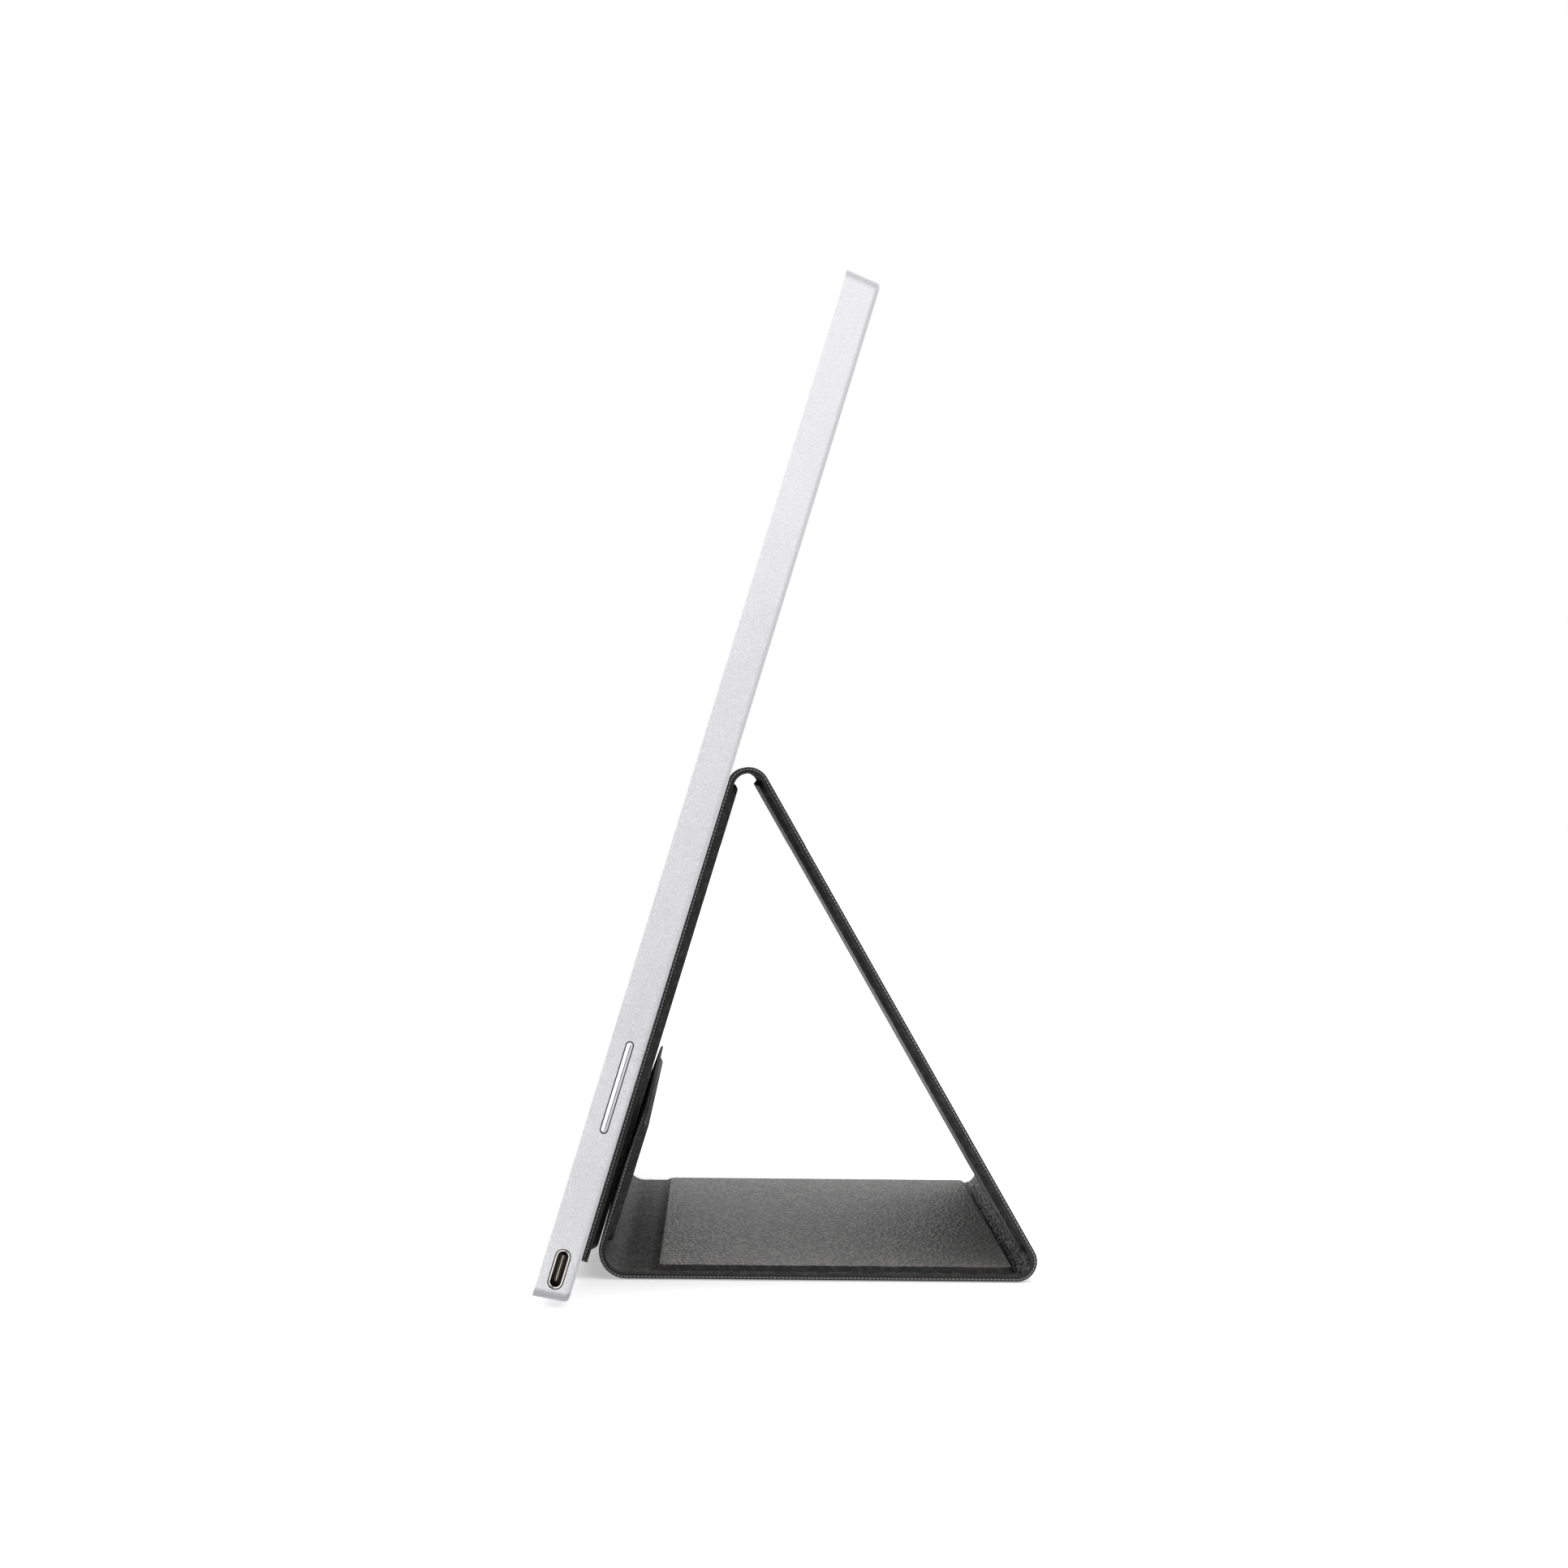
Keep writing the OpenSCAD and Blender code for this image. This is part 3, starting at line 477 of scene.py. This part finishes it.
def carve(shape, cutters, additions=()):
    """Joins the additions to a shape, cuts the cutters out, and returns what is left."""
    target = mesh_object("carved", shape)
    steps = [(a, "UNION") for a in additions] + [(c, "DIFFERENCE") for c in cutters]
    for i, (other, operation) in enumerate(steps):
        cut = target.modifiers.new("cut_%d" % i, "BOOLEAN")
        cut.object = mesh_object("cutter_%d" % i, other)
        cut.operation = operation
        cut.solver = "EXACT"
    result = target.evaluated_get(bpy.context.evaluated_depsgraph_get())
    left = bmesh.new()
    left.from_mesh(result.to_mesh())
    for made in [target] + [m.object for m in target.modifiers]:
        bpy.data.objects.remove(made)
    return left


def mesh_object(name, shape):
    """Turns a shape into an object of the scene."""
    mesh = bpy.data.meshes.new(name)
    shape.to_mesh(mesh)
    shape.free()
    made = bpy.data.objects.new(name, mesh)
    bpy.context.collection.objects.link(made)
    return made


def joined(shapes):
    """Several closed shapes as one."""
    whole = bmesh.new()
    for shape in shapes:
        kept = bpy.data.meshes.new("part")
        shape.to_mesh(kept)
        shape.free()
        whole.from_mesh(kept)
        bpy.data.meshes.remove(kept)
    return whole


def chart_sheet(shape):
    """Lays the sheet flat in its UV map, in metres: cut sides are charted by run and depth."""
    chart = shape.loops.layers.uv.new("UVMap")
    shape.normal_update()
    for face in shape.faces:
        steepest = max(range(3), key=lambda i: abs(face.normal[i]))
        if abs(face.normal[2]) > 0.75:
            steepest = 2
        # Steep faces take the second finish: on the leather the real cut edge, on the lining a darker
        # copy of the lining, painted shade for its sides
        if steepest != 2:
            face.material_index = EDGE_SLOT
        u, v = {0: (1, 2), 1: (0, 2), 2: (0, 1)}[steepest]
        for loop in face.loops:
            loop[chart].uv = (loop.vert.co[u] / 1000, loop.vert.co[v] / 1000)


def mark_below(shape, height):
    """Gives the lining's flat faces below a height the finish of the pressed lining."""
    for face in shape.faces:
        if face.material_index != EDGE_SLOT and face.calc_center_median().z <= height:
            face.material_index = PRESSED_SLOT


def roll(shape, centre, start, turn, radius, length):
    """Rolls a flat sheet, whose outer face is Z = 0, round a centre of the side view."""
    for v in shape.verts:
        angle = start + turn * v.co.y / length
        reach = radius - v.co.z
        v.co.y = centre[0] + reach * cos(angle)
        v.co.z = centre[1] + reach * sin(angle)


def finish_piece(name, shape, body, finishes, nodes=(), place=Matrix.Identity(4)):
    """Makes the piece's mesh in metres, evens its shading, hangs it on its body, and hides the part's
    nodes that it stands for.
    """
    shape.transform(Matrix.Scale(0.001, 4) @ place)
    rough_mesh = bpy.data.meshes.new(name)
    shape.to_mesh(rough_mesh)
    shape.free()
    for finish in finishes:
        rough_mesh.materials.append(finish)
    rough_mesh.shade_smooth()
    rough_mesh.set_sharp_from_angle(angle=SHARP_TURN)
    piece = bpy.data.objects.new(name, rough_mesh)
    bpy.context.collection.objects.link(piece)
    even = piece.modifiers.new("even_shading", "WEIGHTED_NORMAL")
    even.keep_sharp = True
    seen = piece.evaluated_get(bpy.context.evaluated_depsgraph_get())
    smooth_mesh = bpy.data.meshes.new_from_object(seen)
    piece.modifiers.clear()
    piece.data = smooth_mesh
    smooth_mesh.name = name
    if body:
        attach(piece, body)
    if nodes:
        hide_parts(*nodes)
    return piece


# The cover

EDGE_ROUND = 0.28
EDGE_SLOT = 1
PRESSED_SLOT = 2
FOLD_STEPS = 30


def round_free_corners(shape, free_ends):
    """Rounds a sheet's corners at the ends that join no fold."""
    corners = [
        e for e in upright_edges(shape) if any(abs(e.verts[0].co.y - y) < BUTT for y in free_ends)
    ]
    round_edges(shape, corners, FREE_CORNER_R, 10)


def skin_sheet(length, free_ends=()):
    """A panel's or a fold's leather: round at its free corners and along its open edges."""
    half = COVER_W / 2
    shape = new_box((-half, 0, 0), (half, length, SKIN_T))
    round_free_corners(shape, free_ends)
    butts = [y for y in (0, length) if y not in free_ends]

    def on_open_edge(e):
        a, b = e.verts[0].co, e.verts[1].co
        if abs(a.z) > BUTT or abs(b.z) > BUTT:
            return False
        return not any(abs(a.y - y) < BUTT and abs(b.y - y) < BUTT for y in butts)

    round_edges(shape, [e for e in shape.edges if on_open_edge(e)], EDGE_ROUND, 3)
    return shape


def lining_sheet(length, board, ramps, free_ends):
    """A panel's lining: flat on the skin, drawn up over the board, and hollow where the board is.
    board is the board's two ends, ramps the ramp's width at its start, its end and its sides."""
    crest_inset, end_gap, sink, pocket_reach = 0.1, 0.02, 0.2, 1
    half = COVER_W / 2
    low = SKIN_T + LINING_T
    flat = new_box((-half, 0, SKIN_T), (half, length, low))
    round_free_corners(flat, free_ends)
    crest_x = half - SIDE_MARGIN + LINING_T - crest_inset
    crest = board[0] - LINING_T + crest_inset, board[1] + LINING_T - crest_inset
    foot_x = crest_x + ramps[2]
    foot = max(crest[0] - ramps[0], end_gap), min(crest[1] + ramps[1], length - end_gap)
    hump = new_box((-foot_x, foot[0], low - sink), (foot_x, foot[1], COVER_T))
    round_edges(hump, upright_edges(hump), BOARD_CORNER_R, 5)
    for v in hump.verts:
        if v.co.z > COVER_T - BUTT:
            share_x = crest_x / foot_x
            share_y = (crest[1] - crest[0]) / (foot[1] - foot[0])
            v.co.x *= share_x
            v.co.y = crest[0] + (v.co.y - foot[0]) * share_y
    round_edges(hump, edges_where(hump, lambda p: p.z > COVER_T - BUTT), CREST_R, 4)
    pocket = new_box(
        (SIDE_MARGIN - half, board[0], SKIN_T - pocket_reach),
        (half - SIDE_MARGIN, board[1], SKIN_T + BOARD_T)
    )
    round_edges(pocket, upright_edges(pocket), BOARD_CORNER_R, 5)
    return carve(flat, [pocket], [hump])


def make_cover():
    """The cover's four panels and three folds, each of leather and lining."""
    leather = outer_leather()
    lining = grained_lining()
    pressed = pressed_lining()
    creased_shaded = creased_lining_painted_shade()
    edge = cut_edge()
    # side is painted shade: a near black copy of the lining for the lining's steep faces
    side = lining_side_painted_shade()
    panels = {
        "base": (base_front, 0, BASE_LEN, (FRONT_MARGIN, BASE_LEN - FOLD_MARGIN), (2.6, 1.2, 0.8)),
        "strut": (
            strut_foot, STRUT_A, STRUT_LEN, (FOLD_MARGIN, STRUT_LEN - FOLD_MARGIN), (0.4, 0.4, 0.4)
        ),
        "back_panel": (
            back_top, BACK_A, BACK_PANEL_LEN,
            (FOLD_MARGIN, BACK_PANEL_LEN - END_MARGIN), (0.4, 1.4, 0.4)
        ),
        "flap": (flap_edge, FLAP_A, FLAP_LEN, (END_MARGIN, FLAP_LEN - FOLD_MARGIN), (1.4, 0.4, 0.4)),
    }
    for panel, (point, turn, length, board, ramps) in panels.items():
        free_ends = {"flap": [0], "back_panel": [length]}.get(panel, [])
        skin = skin_sheet(length, free_ends)
        chart_sheet(skin)
        if panel == "flap":
            pare_lip(skin)
        finish_piece(
            panel + "_leather", skin, panel, [leather, edge],
            [panel + "_skin"], lay(point, turn)
        )
        sheet = lining_sheet(length, board, ramps, free_ends)
        chart_sheet(sheet)
        mark_below(sheet, COVER_T - LINING_T / 2)
        finish_piece(
            panel + "_soft_lining", sheet, panel, [lining, side, pressed],
            [panel + "_lining"], lay(point, turn)
        )
    folds = {
        "rear_fold": (rear_centre, -pi / 2, REAR_TURN, REAR_FOLD_R, "base", "strut"),
        "top_fold": (top_centre, STRUT_A - pi / 2, TOP_TURN, TOP_FOLD_R, "strut", "back_panel"),
        "front_fold": (front_centre, FLAP_A - pi / 2, FRONT_TURN, FRONT_FOLD_R, "flap", "base"),
    }
    for fold, (centre, start, turn, radius, first, second) in folds.items():
        length = radius * turn
        steps = [length * i / FOLD_STEPS for i in range(1, FOLD_STEPS)]
        skin = skin_sheet(length)
        cut_across(skin, 1, steps)
        chart_sheet(skin)
        half = COVER_W / 2
        inner = new_box((-half, 0, SKIN_T), (half, length, SKIN_T + LINING_T))
        cut_across(inner, 1, steps)
        chart_sheet(inner)
        # The rear and top folds take the darker creased copy of the lining, painted shade
        bent = pressed if fold == "front_fold" else creased_shaded
        for shape, name, finishes, slot, node in (
            (skin, fold + "_leather", [leather, edge], "cover_leather", fold + "_skin"),
            (inner, fold + "_soft_lining", [bent, side], "fold_lining", fold + "_lining"),
        ):
            roll(shape, centre, start, turn, radius, length)
            piece = finish_piece(name, shape, None, finishes)
            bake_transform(piece)
            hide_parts(node)


def pare_lip(shape):
    """Thins the flap's free edge on the side of the back panel."""
    lip_len, lip_cut = 14, 0.75
    cut_across(shape, 1, [lip_len])
    for v in shape.verts:
        if v.co.y < lip_len:
            thinned = lip_cut * (1 - v.co.y / lip_len)
            v.co.z = thinned + v.co.z * (SKIN_T - thinned) / SKIN_T


# The monitor

def pill_block(length, width, low, high, segments=10):
    """A block with round ends along Y, its faces at Z low and high."""
    shape = new_box((-width / 2, -length / 2, low), (width / 2, length / 2, high))
    round_edges(shape, upright_edges(shape), width / 2 - 0.001, segments)
    return shape


def at_socket(side):
    """A socket's frame: its Z runs outwards through the wall, its Y up the monitor."""
    out = MONITOR_W / 2 - (MONITOR_T / 2) * tan(WALL_DRAFT) - SOCKET_INSET
    return Matrix.Translation((side * out, SOCKET_Y, MONITOR_T / 2)) @ Matrix.Rotation(
        side * pi / 2, 4, "Y"
    )


def at_key():
    """The key's frame: its Z runs inwards from the wall, its Y up the monitor."""
    wall_x = MONITOR_W / 2 - (MONITOR_T - KEY_Z) * tan(WALL_DRAFT)
    return Matrix.Translation((wall_x, KEY_Y, KEY_Z)) @ Matrix.Rotation(-pi / 2, 4, "Y")


def drafted(point):
    """Leans the walls in towards the back, by the draft at the point's depth."""
    run = (MONITOR_T - point.z) * tan(WALL_DRAFT)
    point.x += run if point.x < 0 else -run
    point.y += run if point.y < MONITOR_H / 2 else -run


def case_block(inset, floor, corner, back_round):
    """The monitor's outer form, or with an inset the room inside it."""
    half = MONITOR_W / 2 - inset
    top = MONITOR_T + (1 if inset else 0)
    shape = new_box((-half, inset, floor), (half, MONITOR_H - inset, top))
    round_edges(shape, upright_edges(shape), corner, 12)
    for v in shape.verts:
        drafted(v.co)
    back = edges_where(shape, lambda p: abs(p.z - floor) < BUTT)
    round_edges(shape, back, back_round, 6)
    if not inset:
        front = edges_where(shape, lambda p: abs(p.z - top) < BUTT)
        round_edges(shape, front, FRONT_EDGE_R, 3)
    return shape


def post(x, y, low, high, wide):
    """A round post through the monitor's depth."""
    shape = bmesh.new()
    bmesh.ops.create_cone(
        shape, cap_ends=True, segments=32, radius1=wide / 2, radius2=wide / 2, depth=high - low,
        matrix=Matrix.Translation((x, y, (low + high) / 2))
    )
    return shape


def make_back_cover():
    """The aluminium back: a drafted pan with its socket mouths, key slot and screw bosses."""
    outer = case_block(0, 0, CORNER_R, BACK_EDGE_R)
    room = case_block(SHELL_WALL, SHELL_WALL, CORNER_R - SHELL_WALL / 2, INNER_BACK_R)
    cutters = []
    # The mouths are 0.13 mm wider all round than the part's, so that the rim's dark line shows
    gap = 2 * SET_GAP + 0.26
    for side in (-1, 1):
        mouth = pill_block(SOCKET_W + gap, SOCKET_H + gap, -CUTTER_REACH, CUTTER_REACH, 12)
        mouth.transform(at_socket(side))
        cutters.append(mouth)
    slot = pill_block(KEY_LEN + 2 * KEY_GAP, KEY_W + 2 * KEY_GAP, -CUTTER_REACH, CUTTER_REACH)
    slot.transform(at_key())
    cutters.append(slot)
    bosses = []
    boss_sink, hole_floor, hole_reach = 0.2, 0.4, 1
    for i in range(SCREW_COUNT):
        x = (i / (SCREW_COUNT - 1) - 0.5) * SCREW_SPAN
        boss_d = SCREW_D + 2 * BOSS_WALL
        bosses.append(post(x, SCREW_Y, SHELL_WALL - boss_sink, BOSS_TOP, boss_d))
        cutters.append(post(x, SCREW_Y, SHELL_WALL + hole_floor, BOSS_TOP + hole_reach, SCREW_D))
    shape = carve(carve(outer, [room]), cutters, bosses)
    finish_piece(
        "aluminium_back_cover", shape, "monitor", [blasted_aluminium()],
        ["back_cover"], ON_MONITOR
    )


def make_socket(side, name, plated, painted_shade_finish, nylon, gold):
    """The socket's drawn shell, its tongue, the tongue's stiffening plate and its contacts."""
    place = ON_MONITOR @ at_socket(side)
    lip_depth, floor_t = 0.2, 0.2
    shell = pill_block(SOCKET_W, SOCKET_H, -SOCKET_DEPTH, 0, 12)
    mouth = [f for f in shell.faces if f.normal.z > 0.9]
    bmesh.ops.inset_region(shell, faces=mouth, thickness=SOCKET_WALL, use_even_offset=True)
    floor = [f for f in shell.faces if f.normal.z > 0.9 and len(f.verts) > 6]
    deep = bmesh.ops.extrude_face_region(shell, geom=floor)
    bmesh.ops.delete(shell, geom=floor, context="FACES")
    sunk = [v for v in deep["geom"] if isinstance(v, bmesh.types.BMVert)]
    bmesh.ops.translate(shell, vec=(0, 0, SOCKET_FLOOR - SOCKET_DEPTH), verts=sunk)
    lip = [
        e for e in edges_where(shell, lambda p: abs(p.z) < BUTT)
        if any(abs(f.normal.z) < 0.5 for f in e.link_faces)
    ]
    round_edges(shell, lip, SOCKET_LIP_R, 3)
    # Painted shade: the shell's inner walls and the floor of its recess take the darkened copy of the
    # nickel
    for face in shell.faces:
        middle = face.calc_center_median()
        near_axis = abs(middle.x) < SOCKET_H / 2 - SOCKET_WALL / 2
        within = near_axis and abs(middle.y) < SOCKET_W / 2 - 0.2
        faces_axis = face.normal.dot(Vector((middle.x, middle.y, 0))) < 0
        above_back = middle.z > floor_t - SOCKET_DEPTH
        if middle.z < -lip_depth and (faces_axis or (within and above_back)):
            face.material_index = 1
    finish_piece(
        "usb_shell_" + name, shell, "monitor", [plated, painted_shade_finish],
        ["usb_socket_" + name], place
    )
    back, front = SOCKET_FLOOR - SOCKET_DEPTH, SOCKET_FLOOR - SOCKET_DEPTH + TONGUE_LEN
    half_t, half_w = TONGUE_T / 2, TONGUE_W / 2
    tongue = new_box((-half_t, -half_w, back), (half_t, half_w, front))
    upright = [
        e for e in edges_where(tongue, lambda p: p.z > front - BUTT)
        if abs(e.verts[0].co.y - e.verts[1].co.y) < BUTT
    ]
    round_edges(tongue, upright, 0.4, 4)
    round_edges(tongue, edges_where(tongue, lambda p: p.z > front - BUTT), 0.1, 2)
    finish_piece(
        "usb_tongue_moulding_" + name, tongue, "monitor", [nylon],
        ["usb_tongue_" + name], place
    )
    plate_t, plate_margin, plate_proud = 0.16, 0.35, 0.05
    plate = new_box(
        (-plate_t / 2, plate_margin - half_w, front - 1),
        (plate_t / 2, half_w - plate_margin, front + plate_proud)
    )
    round_edges(plate, edges_where(plate, lambda p: p.z > front), 0.03, 2)
    finish_piece("usb_mid_plate_" + name, plate, "monitor", [plated], (), place)
    pin_count, pin_pitch, pin_w, pin_proud = 12, 0.5, 0.26, 0.04
    pins = []
    for face in (-1, 1):
        low_x, high_x = sorted((face * half_t, face * (half_t + pin_proud)))
        for i in range(pin_count):
            y = (i - (pin_count - 1) / 2) * pin_pitch
            pins.append(new_box(
                (low_x, y - pin_w / 2, front - 3.6), (high_x, y + pin_w / 2, front - 0.35)
            ))
    finish_piece(
        "usb_contacts_" + name, joined(pins), "monitor", [gold], (), place
    )


def crowned_bar(depth):
    """The key's bar: half a ball stretched along Y, with straight walls down to a flat end."""
    around = 32
    bar = bmesh.new()
    # Turned by half a step, so that no vertex lies on the line where the halves are parted
    turn = Matrix.Rotation(pi / around, 4, "Z")
    bmesh.ops.create_uvsphere(bar, u_segments=around, v_segments=20, radius=1, matrix=turn)
    bmesh.ops.delete(bar, geom=[v for v in bar.verts if v.co.z > BUTT], context="VERTS")
    for v in bar.verts:
        shift = (KEY_LEN - KEY_W) / 2 * (1 if v.co.y > BUTT else -1 if v.co.y < -BUTT else 0)
        v.co = v.co.x * KEY_W / 2, v.co.y * KEY_W / 2 + shift, (1 + v.co.z) * KEY_CROWN - KEY_PROUD
    rim = [e for e in bar.edges if e.is_boundary]
    walls = bmesh.ops.extrude_edge_only(bar, edges=rim)["geom"]
    for v in walls:
        if isinstance(v, bmesh.types.BMVert):
            v.co.z = depth
    bmesh.ops.contextual_create(bar, geom=[e for e in bar.edges if e.is_boundary])
    bmesh.ops.recalc_face_normals(bar, faces=bar.faces)
    return bar


def make_rocker_key(polished, painted_shade_finish):
    """The key: a crowned bar, with the flange that keeps it in and the hub that it rocks on."""
    flange_depth = SHELL_WALL + 0.5
    flange_t, flange_rim, flange_short = 0.5, 0.75, 1.6
    hub_half_len, hub_wall, bore_r, bore_len = 1.5, 0.8, 0.45, 8
    head = crowned_bar(flange_depth)
    flange = pill_block(
        KEY_LEN - flange_short, KEY_W + 2 * flange_rim, flange_depth, flange_depth + flange_t
    )
    half_w = KEY_W / 2 + flange_rim
    pin_z = flange_depth + flange_t + 0.5
    hub = new_box(
        (-half_w, -hub_half_len, flange_depth + 0.1), (half_w, hub_half_len, pin_z + hub_wall)
    )
    bore = bmesh.new()
    bmesh.ops.create_cone(
        bore, cap_ends=True, segments=32, radius1=bore_r, radius2=bore_r, depth=bore_len,
        matrix=Matrix.Translation((0, 0, pin_z)) @ Matrix.Rotation(pi / 2, 4, "Y")
    )
    hub = carve(hub, [bore])
    # Painted shade: the flange and the hub, hidden inside the monitor, take the nickel finish
    # darkened in its colour
    for hidden in (flange, hub):
        for face in hidden.faces:
            face.material_index = 1
    finish_piece(
        "polished_rocker_key", joined([head, flange, hub]), "key",
        [polished, painted_shade_finish], ["rocker_key"],
        ON_MONITOR @ at_key()
    )


make_cover()
make_back_cover()
# The darkened nickel is painted shade, shared by the socket's inside and the key's hidden parts
nickel_with_painted_shade = nickel_painted_shade()
socket_finishes = nickel_steel(), nickel_with_painted_shade, black_nylon(), gold_plate()
make_socket(1, "right", *socket_finishes)
make_socket(-1, "left", *socket_finishes)
make_rocker_key(polished_aluminium(), nickel_with_painted_shade)
dress_plain_pieces()

# Studio and camera, in metres

FLOOR_HALF = 6
FLOOR_DROP = 0.0003
FLAG_PLACE = 1.15, 0.23, -0.07
FLAG_W = 0.26
FLAG_H = 0.3
PHOTO_WIDTH_PX = 1932
PHOTO_FOCAL_PX = 5495.0
SENSOR_MM = 36
CAMERA_PLACE = 1.17665, -0.02321, 0.12054
CAMERA_YAW = radians(-0.713)
CAMERA_PITCH = radians(-0.1625)
CAMERA_ROLL = radians(-0.566)


def studio_floor():
    """A wide white floor, just under the part."""
    shape = bmesh.new()
    bmesh.ops.create_grid(shape, x_segments=1, y_segments=1, size=FLOOR_HALF)
    bmesh.ops.translate(shape, vec=(0, 0, -FLOOR_DROP), verts=shape.verts)
    floor = mesh_object("studio_floor", shape)
    # White paper lit a little from below, as on a light table, so that the shadow stays faint
    white, *_ = start_finish("white_paper_floor", {
        "Base Color": linear("#f6f6f6"), "Roughness": 0.9, "Specular IOR Level": 0.1,
        "Emission Color": (1, 1, 1, 1), "Emission Strength": 0.4
    })
    floor.data.materials.append(white)
    floor.visible_glossy = False


def soft_sky_light(toward, spread, strength):
    """One very wide, even light from overhead, as from a studio's white ceiling."""
    lamp = bpy.data.lights.new("white_ceiling", "SUN")
    lamp.angle = radians(spread)
    lamp.energy = strength
    light = bpy.data.objects.new("white_ceiling", lamp)
    light.visible_glossy = False
    light.rotation_euler = Vector(toward).to_track_quat("-Z", "Y").to_euler()
    bpy.context.collection.objects.link(light)


def black_flag():
    """A dark card beside the camera, seen only in reflections: it draws the line along the key."""
    shape = bmesh.new()
    bmesh.ops.create_grid(shape, x_segments=1, y_segments=1, size=0.5)
    bmesh.ops.scale(shape, vec=(FLAG_H, FLAG_W, 1), verts=shape.verts)
    shape.transform(
        Matrix.Translation(FLAG_PLACE) @ Matrix.Rotation(-SCREEN_LEAN, 4, "X")
        @ Matrix.Rotation(-pi / 2, 4, "Y")
    )
    flag = mesh_object("black_flag", shape)
    dark, *_ = start_finish("black_card", {
        "Base Color": linear("#0a0a0a"), "Roughness": 1.0, "Specular IOR Level": 0.0
    })
    flag.data.materials.append(dark)
    flag.visible_camera = False
    flag.visible_diffuse = False
    flag.visible_shadow = False


def white_surround(left, right, above, below):
    """A white room, dimmer on the right, overhead and below: the camera sees it plain white."""
    world = bpy.data.worlds.new("white_studio")
    world.use_nodes = True
    tree = world.node_tree
    tree.nodes.clear()
    seen = add(tree, "LightPath").outputs["Is Camera Ray"]
    toward = add(tree, "TexCoord").outputs["Generated"]
    _, side, rise = add(tree, "SeparateXYZ", {0: toward}).outputs
    across = fitted(tree, side, 0.1, 0.8, left, right)
    ground = fitted(tree, rise, -0.9, -0.1, below, 1.0)
    overhead = fitted(tree, rise, 0.45, 1.0, 1.0, above)
    upright = add(tree, "Math", {0: overhead, 1: ground}, operation="MULTIPLY").outputs[0]
    level = add(tree, "Math", {0: across, 1: upright}, operation="MULTIPLY").outputs[0]
    strength = add(tree, "Mix", {0: seen, 2: level, 3: 1.0}).outputs[0]
    glow = add(tree, "Background", {"Color": (1, 1, 1, 1), "Strength": strength})
    add(tree, "OutputWorld", {"Surface": glow.outputs[0]})
    bpy.context.scene.world = world


def camera_of_the_photo():
    """The camera, from its place, its turns off the X axis and its focal length in picture pixels."""
    forward, right, up = Vector((-1, 0, 0)), Vector((0, 1, 0)), Vector((0, 0, 1))
    yaw = Matrix.Rotation(CAMERA_YAW, 3, "Z")
    forward, right = yaw @ forward, yaw @ right
    pitch = Matrix.Rotation(CAMERA_PITCH, 3, right)
    forward, up = pitch @ forward, pitch @ up
    level = Matrix.Rotation(CAMERA_ROLL, 3, forward)
    right, up = level @ right, level @ up
    lens = bpy.data.cameras.new("studio_camera")
    lens.sensor_width = SENSOR_MM
    lens.lens = SENSOR_MM * PHOTO_FOCAL_PX / PHOTO_WIDTH_PX
    lens.clip_end = 50
    camera = bpy.data.objects.new("studio_camera", lens)
    turn = Matrix((right, up, -forward)).transposed().to_4x4()
    camera.matrix_world = Matrix.Translation(CAMERA_PLACE) @ turn
    bpy.context.collection.objects.link(camera)
    bpy.context.scene.camera = camera


studio_floor()
white_surround(left=1.3, right=0.83, above=0.64, below=0.4)
soft_sky_light(toward=(-0.15, 0.1, -1), spread=120, strength=1.8)
black_flag()
camera_of_the_photo()
bpy.context.scene.view_settings.view_transform = "Standard"
